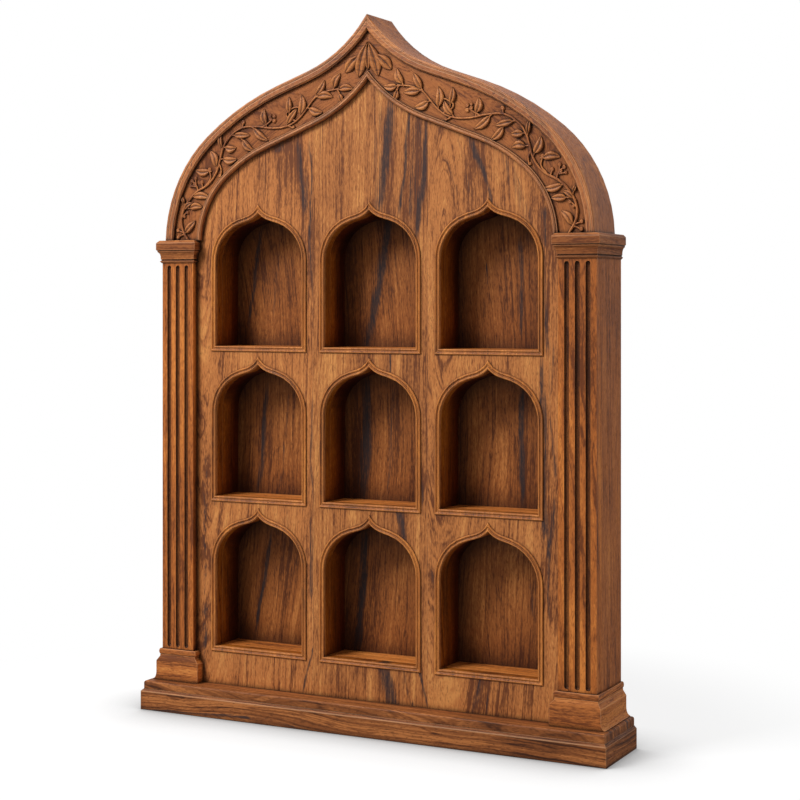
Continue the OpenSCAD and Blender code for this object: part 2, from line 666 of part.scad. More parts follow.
// Length of the line pts up to each of its points, and its point at a share of its length
function run(pts, i) = i == 0 ? 0 : run(pts, i - 1) + norm(pts[i] - pts[i - 1]);
function runs(pts) = [for (i = [0:len(pts) - 1]) run(pts, i)];
function part_way(pts, lengths, share) = let (
    goal = share * lengths[len(pts) - 1],
    i = max([for (j = [0:len(pts) - 2]) if (lengths[j] <= goal) j]))
  pts[i] + (pts[i + 1] - pts[i]) * (goal - lengths[i]) / (lengths[i + 1] - lengths[i]);

// Place on the band, given in per cent along and across
band_in = inner_curve(-inner_w);
band_out = crown_curve(rim_w);
in_runs = runs(band_in);
out_runs = runs(band_out);
function on_band(p) = let (a = part_way(band_in, in_runs, p[0] / 100))
  a + (part_way(band_out, out_runs, p[0] / 100) - a) * p[1] / 100;

// Stem and stalks of the vine, and the point on them that is nearest to p
vine_lines = [for (line = concat([vine_stem], vine_stalks)) smooth_line([for (p = line) on_band(p)])];
vine_points = [for (line = vine_lines) for (p = line) p];
function nearest(p) = let (least = min([for (q = vine_points) norm(q - p)]))
  [for (q = vine_points) if (norm(q - p) == least) q][0];

module vine_right() carved([1]) {
  union() {
    for (i = [0:len(vine_lines) - 1]) stem(vine_lines[i], i == 0 ? stem_w : stem_w * 0.7, stem_w / 2);
    for (l = vine_leaves) let (foot = on_band(l)) {
      leaf(foot, l[2], l[3], l[4]);
      twig(foot + l[3] / 8 * [cos(l[2]), sin(l[2])], nearest(foot));
    }
    for (b = vine_berries) let (middle = on_band(b)) {
      translate(middle) circle(d = b[2], $fn = 12);
      twig(middle, nearest(middle));
    }
  }
  union() {
    for (l = vine_leaves) leaf_halves(on_band(l), l[2], l[3], l[4]);
    for (b = vine_berries) translate(on_band(b)) circle(d = b[2] * leaf_inset, $fn = 12);
  }
}

module vine_left() left() vine_right();

// Five leaves under the point of the crown
module crown_spray() carved([1, -1]) {
  translate([0, band_top - spray_drop]) for (l = spray_leaves) leaf([l[0], l[1]], l[2], l[3], l[4]);
  translate([0, band_top - spray_drop]) for (l = spray_leaves) leaf_halves([l[0], l[1]], l[2], l[3], l[4]);
}

plinth_front();
plinth_left();
plinth_right();
plinth_back();
base_board();
plinth_screws();
side_left();
side_right();
post_outer_left();
post_outer_right();
divider_left();
divider_right();
shelf(1);  // shelf_bottom
shelf(2);  // shelf_middle
shelf(3);  // shelf_top
ceiling_board();
back_panel();
hanging_rail();
rail_screws();
arch_block(1, 1);  // arch_block_11
arch_block(1, 2);  // arch_block_12
arch_block(1, 3);  // arch_block_13
arch_block(2, 1);  // arch_block_21
arch_block(2, 2);  // arch_block_22
arch_block(2, 3);  // arch_block_23
arch_block(3, 1);  // arch_block_31
arch_block(3, 2);  // arch_block_32
arch_block(3, 3);  // arch_block_33
face_left();
face_centre();
face_right();
niche_trim(1, 1);  // niche_trim_11
niche_trim(1, 2);  // niche_trim_12
niche_trim(1, 3);  // niche_trim_13
niche_trim(2, 1);  // niche_trim_21
niche_trim(2, 2);  // niche_trim_22
niche_trim(2, 3);  // niche_trim_23
niche_trim(3, 1);  // niche_trim_31
niche_trim(3, 2);  // niche_trim_32
niche_trim(3, 3);  // niche_trim_33
pilaster_left();
pilaster_right();
pedestal_left();
pedestal_right();
base_bead_left();
base_bead_right();
capital_left();
capital_right();
abacus_left();
abacus_right();
arch_rim_left();
arch_rim_right();
frieze_left();
frieze_right();
arch_bead_left();
arch_bead_right();
vine_left();
vine_right();
crown_spray();
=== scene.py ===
# Wall display shelf in oiled hardwood: nine ogee niches between fluted pilasters,
# a two-tier plinth and a pointed crown with a carved leafy vine
import math
import random
import bmesh
import bpy
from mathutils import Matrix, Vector


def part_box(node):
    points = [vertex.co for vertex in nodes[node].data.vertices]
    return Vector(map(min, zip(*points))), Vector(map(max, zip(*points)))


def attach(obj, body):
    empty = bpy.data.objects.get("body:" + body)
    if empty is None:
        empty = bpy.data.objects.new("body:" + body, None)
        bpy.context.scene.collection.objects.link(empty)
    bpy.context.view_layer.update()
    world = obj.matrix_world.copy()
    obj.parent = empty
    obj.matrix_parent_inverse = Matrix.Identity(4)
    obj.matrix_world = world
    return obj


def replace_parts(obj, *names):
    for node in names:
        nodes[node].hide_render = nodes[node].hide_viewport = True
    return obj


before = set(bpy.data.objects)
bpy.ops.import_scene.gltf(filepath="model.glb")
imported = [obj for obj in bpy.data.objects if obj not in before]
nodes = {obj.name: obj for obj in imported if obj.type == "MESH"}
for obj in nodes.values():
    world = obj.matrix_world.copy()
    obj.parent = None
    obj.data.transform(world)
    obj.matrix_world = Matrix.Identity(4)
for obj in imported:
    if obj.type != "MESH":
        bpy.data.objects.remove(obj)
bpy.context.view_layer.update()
print("frame loaded:", len(nodes), "pieces")

mm = 0.001
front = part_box("frieze_left")[0].y      # y of the sunk band
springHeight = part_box("abacus_left")[1].z
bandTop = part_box("frieze_left")[1].z


# Small helpers

def shade(red, green, blue):
    # a colour as a paint chart gives it, 0 to 255, made linear
    return [((c / 255 + 0.055) / 1.055) ** 2.4 for c in (red, green, blue)] + [1.0]


def pick(piece):
    bpy.ops.object.select_all(action="DESELECT")
    piece.select_set(True)
    bpy.context.view_layer.objects.active = piece


def aimAt(thing, target):
    direction = Vector(target) - thing.location
    thing.rotation_euler = direction.to_track_quat("-Z", "Y").to_euler()


def pickVertices(test):
    # selects vertices of the mesh in edit mode by their place
    mesh = bpy.context.edit_object.data
    bpy.ops.mesh.select_mode(type="VERT")
    bpy.ops.mesh.select_all(action="DESELECT")
    shape = bmesh.from_edit_mesh(mesh)
    for vertex in shape.verts:
        if test(vertex.co):
            vertex.select_set(True)
    shape.select_flush(True)
    bmesh.update_edit_mesh(mesh)


def applyModifier(piece, modifier):
    pick(piece)
    bpy.ops.object.modifier_apply(modifier=modifier.name)


# Camera

cameraLook = {
    "place": (0.944, -1.7946, 0.4956),
    "turn": 27.0,           # degrees about the vertical
    "lens": 78.4,
    "rise": -0.1225,        # shift of the view, so that uprights stay upright
}


def placeCamera(look):
    bpy.ops.object.camera_add(location=look["place"])
    camera = bpy.context.object
    camera.rotation_euler = (math.radians(90), 0, math.radians(look["turn"]))
    camera.data.lens = look["lens"]
    camera.data.shift_y = look["rise"]
    bpy.context.scene.camera = camera


placeCamera(cameraLook)
print("camera placed")


# Shader node helpers

def wire(tree, value, target):
    # joins a socket, or sets a plain value
    if isinstance(value, bpy.types.NodeSocket):
        tree.links.new(value, target)
    else:
        target.default_value = value


def calc(tree, operation, *values):
    node = tree.nodes.new("ShaderNodeMath")
    node.operation = operation
    for index, value in enumerate(values):
        wire(tree, value, node.inputs[index])
    return node.outputs[0]


def vectorCalc(tree, operation, first, second):
    node = tree.nodes.new("ShaderNodeVectorMath")
    node.operation = operation
    wire(tree, first, node.inputs[0])
    if operation == "SCALE":
        wire(tree, second, node.inputs["Scale"])
    else:
        wire(tree, second, node.inputs[1])
    return node.outputs[0]


def remap(tree, value, low, high, newLow=0.0, newHigh=1.0):
    node = tree.nodes.new("ShaderNodeMapRange")
    node.interpolation_type = "SMOOTHSTEP"
    for name, number in zip(("Value", "From Min", "From Max", "To Min", "To Max"),
                            (value, low, high, newLow, newHigh)):
        wire(tree, number, node.inputs[name])
    return node.outputs["Result"]


def noise(tree, place, detail=2.0, roughness=0.5, dimensions="3D"):
    node = tree.nodes.new("ShaderNodeTexNoise")
    node.noise_dimensions = dimensions
    wire(tree, place, node.inputs["W" if dimensions == "1D" else "Vector"])
    node.inputs["Scale"].default_value = 1.0
    node.inputs["Detail"].default_value = detail
    node.inputs["Roughness"].default_value = roughness
    return node


def splitAxes(tree, vector):
    node = tree.nodes.new("ShaderNodeSeparateXYZ")
    wire(tree, vector, node.inputs[0])
    return node.outputs


def readAttribute(tree, name, output="Vector"):
    node = tree.nodes.new("ShaderNodeAttribute")
    node.attribute_name = name
    return node.outputs[output]


def mixColour(tree, factor, first, second, kind="MIX"):
    node = tree.nodes.new("ShaderNodeMix")
    node.data_type = "RGBA"
    node.blend_type = kind
    wire(tree, factor, node.inputs[0])
    wire(tree, first, node.inputs[6])       # colour sockets A and B, and the colour that comes out
    wire(tree, second, node.inputs[7])
    return node.outputs[2]


def newGroup(name, inputs, outputs):
    # inputs and outputs: names of the sockets, by kind
    group = bpy.data.node_groups.new(name, "ShaderNodeTree")
    for direction, sockets in (("INPUT", inputs), ("OUTPUT", outputs)):
        for kind, labels in sockets.items():
            for label in labels:
                group.interface.new_socket(name=label, in_out=direction,
                                           socket_type="NodeSocket" + kind)
    given = group.nodes.new("NodeGroupInput").outputs
    result = group.nodes.new("NodeGroupOutput").inputs
    return group, given, result


def useGroup(tree, group, values):
    node = tree.nodes.new("ShaderNodeGroup")
    node.node_tree = group
    for name, value in values.items():
        wire(tree, value, node.inputs[name])
    return node.outputs


# Wood figure: growth rings cut by the board, fibres, pores and dark heartwood

# size across and along the board in millimetres, detail and roughness
boardNoise = {
    "drift": (60, 240, 2.5, 0.5),       # bends the whole figure
    "patch": (34, 130, 2.0, 0.5),       # paler and darker areas
    "contour": (9, 260, 2.5, 0.6),      # thin dark lines
    "fibre": (1.2, 34, 3.0, 0.7),
    "thread": (1.5, 110, 3.0, 0.7),     # frays the dark heartwood
    "fleck": (1.5, 7, 2.0, 0.65),
    "pore": (1.1, 6, 1.0, 0.5),
}
# changes to a ring width, shift, detail and roughness
ringNoise = {
    "broad": (1.0, 0.0, 1.5, 0.5),
    "narrow": (4.2, 0.0, 2.5, 0.6),
    "ink": (0.8, 31.7, 2.0, 0.55),      # dark heartwood
}
# where each mask starts and is full, and what it gives there if that isn't 0 and 1
figureRange = {
    "line": (0.0, 0.035, 1.0, 0.0), "thread": (0.32, 0.68), "pore": (0.58, 0.68),
    "darkToMiddle": (-0.46, 0.02), "middleToLight": (0.0, 0.42),
    "inkRing": (0.56, 0.74), "inkPatch": (0.42, 0.60), "inkEdge": (0.0, 0.62),
    "inkFleck": (0.3, 0.7, 0.92, 0.74), "roughness": (0.3, 0.7, 0.60, 0.46),
}
figureWeight = {
    "broad": 0.6, "patch": 1.2, "fibre": 0.55, "line": -0.3, "halo": -0.27,     # on the tone
    "pore": 0.5,            # how dark a pore is
    "fray": -0.55,          # how deep the threads cut into the dark heartwood
    "poreRoughness": 0.16, "fibreHeight": 0.6, "poreHeight": 0.5,
    "slant": 0.15,          # keeps fibres apart where the rings lie flat
}


def stretchedNoise(tree, place, layer, output="Fac"):
    # noise drawn out along the board
    across, along, detail, roughness = boardNoise[layer]
    scaled = vectorCalc(tree, "MULTIPLY", place, (1 / across, 1 / across, 1 / along))
    return noise(tree, scaled, detail, roughness).outputs[output]


def noiseByRing(tree, ring, layer):
    changes, shift, detail, roughness = ringNoise[layer]
    place = calc(tree, "MULTIPLY_ADD", ring, changes, shift)
    return noise(tree, place, detail, roughness, "1D").outputs["Fac"]


def buildWoodFigure():
    tree, given, result = newGroup("woodFigure", {
        "Vector": ("Grain",), "Color": ("Light", "Middle", "Dark", "Ink"),
        "Float": ("Heart Across", "Heart Through", "Heart Along", "Taper", "Wander", "Ring Width",
                  "Lines", "Flecks", "Ink Amount", "Streak", "Halo")},
        {"Color": ("Color",), "Float": ("Roughness", "Height")})

    place = vectorCalc(tree, "SCALE", given["Grain"], 1 / mm)
    drift = stretchedNoise(tree, place, "drift", "Color")
    drift = vectorCalc(tree, "SUBTRACT", drift, (0.5, 0.5, 0.5))
    drift = vectorCalc(tree, "SCALE", drift, given["Wander"])
    place = vectorCalc(tree, "ADD", place, drift)
    across, through, along = splitAxes(tree, place)

    # distance from the heart of the log, which leans against the board
    sideways = calc(tree, "SUBTRACT", across, given["Heart Across"])
    behind = calc(tree, "SUBTRACT", along, given["Heart Along"])
    behind = calc(tree, "MULTIPLY", behind, given["Taper"])
    behind = calc(tree, "ADD", calc(tree, "SUBTRACT", behind, given["Heart Through"]), through)
    ring = calc(tree, "SQRT", calc(tree, "ADD", calc(tree, "MULTIPLY", sideways, sideways),
                                   calc(tree, "MULTIPLY", behind, behind)))
    ring = calc(tree, "DIVIDE", ring, given["Ring Width"])

    # lines and fibres lie along the rings
    bent = tree.nodes.new("ShaderNodeCombineXYZ")
    wire(tree, calc(tree, "MULTIPLY", ring, given["Ring Width"]), bent.inputs["X"])
    wire(tree, calc(tree, "MULTIPLY_ADD", across, figureWeight["slant"], through), bent.inputs["Y"])
    wire(tree, along, bent.inputs["Z"])
    bent = bent.outputs[0]
    patch = stretchedNoise(tree, place, "patch")
    contour = calc(tree, "SUBTRACT", stretchedNoise(tree, bent, "contour"), 0.5)
    line = remap(tree, calc(tree, "ABSOLUTE", contour), *figureRange["line"])
    fibre = stretchedNoise(tree, bent, "fibre")
    thread = remap(tree, stretchedNoise(tree, bent, "thread"), *figureRange["thread"])
    fleck = stretchedNoise(tree, place, "fleck")
    pore = remap(tree, stretchedNoise(tree, place, "pore"), *figureRange["pore"])

    tone = 0.0
    for layer, weight in ((noiseByRing(tree, ring, "broad"), figureWeight["broad"]),
                          (noiseByRing(tree, ring, "narrow"), given["Lines"]),
                          (patch, figureWeight["patch"]), (fibre, figureWeight["fibre"]),
                          (fleck, given["Flecks"])):
        tone = calc(tree, "MULTIPLY_ADD", calc(tree, "SUBTRACT", layer, 0.5), weight, tone)
    tone = calc(tree, "MULTIPLY_ADD", line, figureWeight["line"], tone)
    tone = calc(tree, "MULTIPLY_ADD", given["Halo"], figureWeight["halo"], tone)
    colour = mixColour(tree, remap(tree, tone, *figureRange["darkToMiddle"]),
                       given["Dark"], given["Middle"])
    colour = mixColour(tree, remap(tree, tone, *figureRange["middleToLight"]), colour, given["Light"])
    colour = mixColour(tree, calc(tree, "MULTIPLY", pore, figureWeight["pore"]), colour, given["Dark"])

    ink = remap(tree, noiseByRing(tree, ring, "ink"), *figureRange["inkRing"])
    ink = calc(tree, "MULTIPLY", ink, remap(tree, patch, *figureRange["inkPatch"]))
    ink = calc(tree, "MAXIMUM", calc(tree, "MULTIPLY", ink, given["Ink Amount"]), given["Streak"])
    ink = calc(tree, "MULTIPLY_ADD", thread, figureWeight["fray"], ink)
    ink = calc(tree, "MULTIPLY", remap(tree, ink, *figureRange["inkEdge"]),
               remap(tree, fleck, *figureRange["inkFleck"]))
    colour = mixColour(tree, ink, colour, given["Ink"])

    roughness = remap(tree, fibre, *figureRange["roughness"])
    roughness = calc(tree, "MULTIPLY_ADD", pore, figureWeight["poreRoughness"], roughness)
    height = calc(tree, "SUBTRACT", calc(tree, "MULTIPLY", fibre, figureWeight["fibreHeight"]),
                  calc(tree, "MULTIPLY", pore, figureWeight["poreHeight"]))
    wire(tree, colour, result["Color"])
    wire(tree, roughness, result["Roughness"])
    wire(tree, height, result["Height"])
    return tree


# One dark streak, given in millimetres, with X across and Z up, and a halo of browner
# wood beside it
streakForm = {
    "body": (0.0, 0.95, 1.0, 0.0),      # fades from the middle out, in half widths
    "halo": (0.2, 2.3, 1.0, 0.0),
    "ends": (0.55, 1.1, 1.0, 0.0),      # in half lengths
    "fullHalo": 9.0,                    # half width from which the halo is at its strongest
    "bends": (60.0, 60.0, 11.0),        # how often a streak wavers, per metre
    "bendDetail": 3.0,
    "bendBy": 16.0,                     # and how far, in millimetres
}


def buildInkStreak():
    tree, given, result = newGroup("inkStreak", {
        "Float": ("Across", "Up", "X", "Z", "Lean", "Half Width", "Half Length", "Amount")},
        {"Float": ("Mask", "Halo")})
    rise = calc(tree, "SUBTRACT", given["Up"], given["Z"])
    aside = calc(tree, "SUBTRACT", given["Across"], given["X"])
    aside = calc(tree, "SUBTRACT", aside, calc(tree, "MULTIPLY", rise, given["Lean"]))
    aside = calc(tree, "DIVIDE", calc(tree, "ABSOLUTE", aside), given["Half Width"])
    ends = calc(tree, "DIVIDE", calc(tree, "ABSOLUTE", rise), given["Half Length"])
    amount = calc(tree, "MULTIPLY", remap(tree, ends, *streakForm["ends"]), given["Amount"])
    mask = calc(tree, "MULTIPLY", remap(tree, aside, *streakForm["body"]), amount)
    wideness = calc(tree, "DIVIDE", given["Half Width"], streakForm["fullHalo"])
    amount = calc(tree, "MULTIPLY", amount, calc(tree, "MINIMUM", wideness, 1.0))
    halo = calc(tree, "MULTIPLY", remap(tree, aside, *streakForm["halo"]), amount)
    wire(tree, mask, result["Mask"])
    wire(tree, halo, result["Halo"])
    return tree


# Painted shade in corners, creases and hollows, where the ambient occlusion finds the surface closed
# in, and a painted highlight along the rounded edges
def buildCornerShadeAndEdgeHighlight():
    tree, given, result = newGroup("cornerShadeAndEdgeHighlight", {
        "Color": ("Color", "Corner Color", "Edge Highlight Color"),
        "Float": ("Reach", "Corner Shade", "Dark At", "Clear At", "Edge Lift")},
        {"Color": ("Color",)})
    # painted shade: darker where the ambient occlusion finds the surface closed in
    corners = tree.nodes.new("ShaderNodeAmbientOcclusion")
    corners.samples = 6
    wire(tree, given["Reach"], corners.inputs["Distance"])
    exposed = remap(tree, corners.outputs["AO"], given["Dark At"], given["Clear At"])
    darkness = calc(tree, "MULTIPLY", calc(tree, "SUBTRACT", 1.0, exposed), given["Corner Shade"])
    colour = mixColour(tree, darkness, given["Color"], given["Corner Color"])
    # painted highlight on the faces of the rounded edges, kept out of the painted shade
    lift = calc(tree, "MULTIPLY", readAttribute(tree, "edgeHighlight", "Fac"), given["Edge Lift"])
    colour = mixColour(tree, calc(tree, "MULTIPLY", lift, exposed), colour, given["Edge Highlight Color"])
    wire(tree, colour, result["Color"])
    return tree


# Painted shade in the small gouge cuts of the carved leaves and a painted highlight on their crests.
# leafPlace holds the way along a leaf, the way across it from its midrib, and 1 where the piece is a
# leaf.
leafShadeForm = {
    # where each painted cut shade and crest highlight starts and ends, in widths of the leaf from its
    # midrib
    "midrib": (0.015, 0.07, 1.0, 0.0), "border": (0.41, 0.49), "veinEnd": (0.30, 0.42, 1.0, 0.0),
    "crestFrom": (0.09, 0.2), "crestTo": (0.26, 0.40, 1.0, 0.0),
    "vein": (0.0, 0.12, 0.4, 0.0),      # across one side vein
    "sideVeins": 7.0, "veinSlant": 0.6,
    # how dark the painted shade is at the borders and overall, and how light the painted highlight is
    # on the crests
    "borderDepth": 0.75, "crestLight": 0.4, "depth": 0.85,
}


def buildLeafShadeAndHighlight():
    tree, given, result = newGroup("leafShadeAndHighlight", {"Color": ("Color", "Cut Shade Color", "Crest Highlight Color")},
                                   {"Color": ("Color",)})
    along, across, leaf = splitAxes(tree, readAttribute(tree, "leafPlace"))
    aside = calc(tree, "ABSOLUTE", across)
    midrib = remap(tree, aside, *leafShadeForm["midrib"])
    border = calc(tree, "MULTIPLY", remap(tree, aside, *leafShadeForm["border"]), leafShadeForm["borderDepth"])
    turn = calc(tree, "SUBTRACT", along, calc(tree, "MULTIPLY", aside, leafShadeForm["veinSlant"]))
    turn = calc(tree, "MULTIPLY", turn, leafShadeForm["sideVeins"])
    vein = remap(tree, calc(tree, "PINGPONG", turn, 0.5), *leafShadeForm["vein"])
    vein = calc(tree, "MULTIPLY", vein, remap(tree, aside, *leafShadeForm["veinEnd"]))
    crestHighlight = calc(tree, "MULTIPLY", remap(tree, aside, *leafShadeForm["crestFrom"]),
                 remap(tree, aside, *leafShadeForm["crestTo"]))
    crestHighlight = calc(tree, "MULTIPLY", calc(tree, "MULTIPLY", crestHighlight, leaf), leafShadeForm["crestLight"])
    cutShade = calc(tree, "MAXIMUM", calc(tree, "MAXIMUM", midrib, border), vein)
    cutShade = calc(tree, "MULTIPLY", calc(tree, "MULTIPLY", cutShade, leaf), leafShadeForm["depth"])
    colour = mixColour(tree, crestHighlight, given["Color"], given["Crest Highlight Color"])
    colour = mixColour(tree, cutShade, colour, given["Cut Shade Color"])
    wire(tree, colour, result["Color"])
    return tree


woodFigure = buildWoodFigure()
inkStreak = buildInkStreak()
cornerShadeAndEdgeHighlight = buildCornerShadeAndEdgeHighlight()
leafShadeAndHighlight = buildLeafShadeAndHighlight()


# Woods. Hearts, widths and streaks are in millimetres, reach and depths in metres.

plainWood = {
    "light": (216, 140, 74), "middle": (178, 106, 54), "dark": (106, 56, 28), "ink": (50, 42, 44),
    "heart": (90, 40, 0),       # heart of the log: across, behind and along the board
    "taper": 0.05, "wander": 12, "ringWidth": 15, "inkAmount": 0.7,
    "lines": 0.62, "flecks": 1.0,       # how strongly growth rings and short flecks show
    # painted shade in corners and hollows: its colour, strength, reach, and the occlusion at which it
    # is full and gone; painted highlight on rounded edges: its strength and colour
    "corner": (28, 12, 5), "cornerShade": 0.75, "reach": 0.007, "darkAt": 0.4, "clearAt": 0.96,
    "edgeLift": 0.4, "edgeHighlight": (226, 168, 120), "shine": 0.2,
    "bump": 0.35, "bumpDepth": 0.0004,      # strength of the pores and fibres in the sheen
    "paintedShadeBehind": None,     # painted shade: y from which the piece darkens inwards, over which depth, and to what
    "paintedShadeAbove": None,      # painted shade, the same upwards
    "leafShadeAndHighlight": None,       # colours of the painted shade in the cuts and of the painted highlight on the crests of carved leaves
}


def woodMaterial(name, changes, streaks=()):
    look = dict(plainWood, **changes)
    material = bpy.data.materials.new(name)
    material.use_nodes = True
    tree = material.node_tree
    surface = tree.nodes["Principled BSDF"]
    place = tree.nodes.new("ShaderNodeTexCoord").outputs["Object"]
    streak = halo = 0.0
    if streaks:
        spot = splitAxes(tree, vectorCalc(tree, "SCALE", place, 1 / mm))
        bends = vectorCalc(tree, "MULTIPLY", place, streakForm["bends"])
        bends = noise(tree, bends, streakForm["bendDetail"]).outputs["Fac"]
        bends = calc(tree, "SUBTRACT", bends, 0.5)
        across = calc(tree, "MULTIPLY_ADD", bends, streakForm["bendBy"], spot["X"])
        for x, z, lean, halfWidth, halfLength, amount in streaks:
            mark = useGroup(tree, inkStreak, {
                "Across": across, "Up": spot["Z"], "X": x, "Z": z, "Lean": lean,
                "Half Width": halfWidth, "Half Length": halfLength, "Amount": amount})
            streak = calc(tree, "MAXIMUM", mark["Mask"], streak)
            halo = calc(tree, "MAXIMUM", mark["Halo"], halo)
    figure = useGroup(tree, woodFigure, {
        "Grain": readAttribute(tree, "grain"), "Light": shade(*look["light"]),
        "Middle": shade(*look["middle"]), "Dark": shade(*look["dark"]), "Ink": shade(*look["ink"]),
        "Heart Across": look["heart"][0], "Heart Through": look["heart"][1],
        "Heart Along": look["heart"][2], "Taper": look["taper"], "Wander": look["wander"],
        "Ring Width": look["ringWidth"], "Lines": look["lines"], "Flecks": look["flecks"],
        "Ink Amount": look["inkAmount"], "Streak": streak, "Halo": halo})
    colour = figure["Color"]
    # painted shade, deeper into the niches and higher up the soffits
    for key, axis in (("paintedShadeBehind", "Y"), ("paintedShadeAbove", "Z")):
        if look[key]:
            start, over, depthShade = look[key]
            inside = remap(tree, splitAxes(tree, place)[axis], start, start + over)
            colour = mixColour(tree, inside, colour, shade(*depthShade), "MULTIPLY")
    # painted shade in the cuts and painted highlight on the crests of carved leaves
    if look["leafShadeAndHighlight"]:
        cutShade, crestHighlight = look["leafShadeAndHighlight"]
        colour = useGroup(tree, leafShadeAndHighlight, {"Color": colour, "Cut Shade Color": shade(*cutShade),
                                           "Crest Highlight Color": shade(*crestHighlight)})["Color"]
    # painted shade in corners and painted highlight on rounded edges
    colour = useGroup(tree, cornerShadeAndEdgeHighlight, {
        "Color": colour, "Corner Color": shade(*look["corner"]), "Edge Highlight Color": shade(*look["edgeHighlight"]),
        "Reach": look["reach"], "Corner Shade": look["cornerShade"], "Dark At": look["darkAt"],
        "Clear At": look["clearAt"], "Edge Lift": look["edgeLift"]})["Color"]
    bump = tree.nodes.new("ShaderNodeBump")
    bump.inputs["Strength"].default_value = look["bump"]
    bump.inputs["Distance"].default_value = look["bumpDepth"]
    wire(tree, figure["Height"], bump.inputs["Height"])
    wire(tree, colour, surface.inputs["Base Color"])
    wire(tree, figure["Roughness"], surface.inputs["Roughness"])
    wire(tree, bump.outputs["Normal"], surface.inputs["Normal"])
    surface.inputs["Specular IOR Level"].default_value = look["shine"]
    return material


# Which way the grain runs. Each gives across, through and along the board.

def upright(point, normal):
    return point.x, point.y, point.z


def lengthwise(point, normal):
    return point.z, point.y, point.x


def frontToBack(point, normal):
    return point.z, point.x, point.y


def roundTheCorner(point, normal):
    # boards mitred at the corner: along X at the front, along Y at the sides
    if abs(normal.x) > abs(normal.y):
        return point.z, point.x, point.y
    return point.z, point.y, point.x


archRadius = 0.25       # roughly the crown's, turns an angle into a length round the arch


def roundTheArch(point, normal):
    aside, up = point.x, point.z - springHeight
    return math.hypot(aside, up), point.y, archRadius * math.atan2(aside, up)


def layGrain(piece, run, shift):
    mesh = piece.data
    grain = mesh.attributes.new("grain", "FLOAT_VECTOR", "CORNER")
    for face in mesh.polygons:
        for corner in face.loop_indices:
            point = mesh.vertices[mesh.loops[corner].vertex_index].co
            grain.data[corner].vector = Vector(run(point, face.normal)) + shift


# Copies of the CAD pieces with softened edges

edgeForm = {
    "merge": 0.000003,      # metres within which corners are taken as one
    "flat": 0.4,            # degrees between faces that become one
    "sharp": 26,            # degrees from which an edge is rounded
    "steps": 2,
    "smooth": 34,           # degrees up to which shading runs on
}
# how far edges are rounded, in metres
edgeRound = {
    "plinth": 0.0008, "base": 0.0004, "side": 0.0006, "shelf": 0.0005, "post": 0.0003,
    "soffit": 0.0002, "panel": 0.0003, "rail": 0.0005, "face": 0.0003, "trim": 0.0004,
    "pilaster": 0.0004, "block": 0.0007, "rim": 0.0006, "bead": 0.0004, "frieze": 0.0003,
}
boards = random.Random(7)
boardReach = (0.3, 0.05, 3)     # metres a board may lie off the middle: across, through, along
sameTree = Vector((0, 0, 0))    # for pieces whose figure runs on from one to the next


def nextBoard():
    # another stretch of timber, so that no two pieces share their figure
    return Vector([boards.uniform(-reach, reach) for reach in boardReach])


def softened(nodeName, radius):
    piece = bpy.data.objects.new(nodeName + "_finished", nodes[nodeName].data.copy())
    bpy.context.scene.collection.objects.link(piece)
    pick(piece)
    bpy.ops.mesh.customdata_custom_splitnormals_clear()
    bpy.ops.object.mode_set(mode="EDIT")
    bpy.ops.mesh.select_all(action="SELECT")
    bpy.ops.mesh.remove_doubles(threshold=edgeForm["merge"])
    bpy.ops.mesh.dissolve_limited(angle_limit=math.radians(edgeForm["flat"]))
    bpy.ops.object.mode_set(mode="OBJECT")
    piece.data.materials.clear()
    piece.data.materials.append(None)
    piece.data.materials.append(None)
    for face in piece.data.polygons:
        face.material_index = 0
    bevel = piece.modifiers.new("softEdges", "BEVEL")
    bevel.width = radius
    bevel.segments = edgeForm["steps"]
    bevel.limit_method = "ANGLE"
    bevel.angle_limit = math.radians(edgeForm["sharp"])
    bevel.material = 1
    applyModifier(piece, bevel)
    # the bevel faces are marked for the painted edge highlight
    edgeHighlight = piece.data.attributes.new("edgeHighlight", "FLOAT", "FACE")
    for face in piece.data.polygons:
        edgeHighlight.data[face.index].value = face.material_index
        face.material_index = 0
    piece.data.materials.clear()
    bpy.ops.object.shade_smooth_by_angle(angle=math.radians(edgeForm["smooth"]))
    weighted = piece.modifiers.new("evenShading", "WEIGHTED_NORMAL")
    weighted.keep_sharp = True
    applyModifier(piece, weighted)
    return piece


def finishNode(nodeName, edge, run, material, shift=None):
    piece = softened(nodeName, edgeRound[edge])
    layGrain(piece, run, nextBoard() if shift is None else shift)
    piece.data.materials.append(material)
    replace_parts(piece, nodeName)
    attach(piece, "root")


# Plinth

plinthLook = {"heart": (30, 60, 0), "taper": 0.03, "inkAmount": 1.0, "wander": 24, "ringWidth": 11,
              "darkAt": 0.55, "lines": 1.5, "flecks": 0.6,
              "light": (188, 117, 63), "middle": (140, 81, 41), "dark": (70, 36, 18)}
plinthWood = woodMaterial("plinthWood", plinthLook)
finishNode("plinth_front", "plinth", lengthwise, plinthWood)
for side in ("left", "right"):
    finishNode("plinth_" + side, "plinth", frontToBack, plinthWood)
finishNode("base_board", "base", lengthwise, plinthWood)
print("plinth finished")

# Case

sideWood = woodMaterial("sideWood", {"light": (208, 130, 66), "middle": (176, 102, 50),
                                     "heart": (40, 80, 0), "inkAmount": 0.15})
for side in ("left", "right"):
    finishNode("side_" + side, "side", upright, sideWood)

# niche walls and soffits: a darker, deeper-toned copy of the wood as painted shade for the inside of
# the niches, with wide painted shade in the corners and painted shade darkening towards the back
wallLook = {"light": (204, 120, 40), "middle": (156, 86, 22), "dark": (94, 48, 12), "ink": (44, 24, 12),
            "corner": (34, 11, 2), "reach": 0.03, "cornerShade": 0.6, "inkAmount": 0.3,
            "paintedShadeBehind": (-0.010, 0.038, (150, 112, 80))}
wallWood = woodMaterial("wallWood", wallLook)
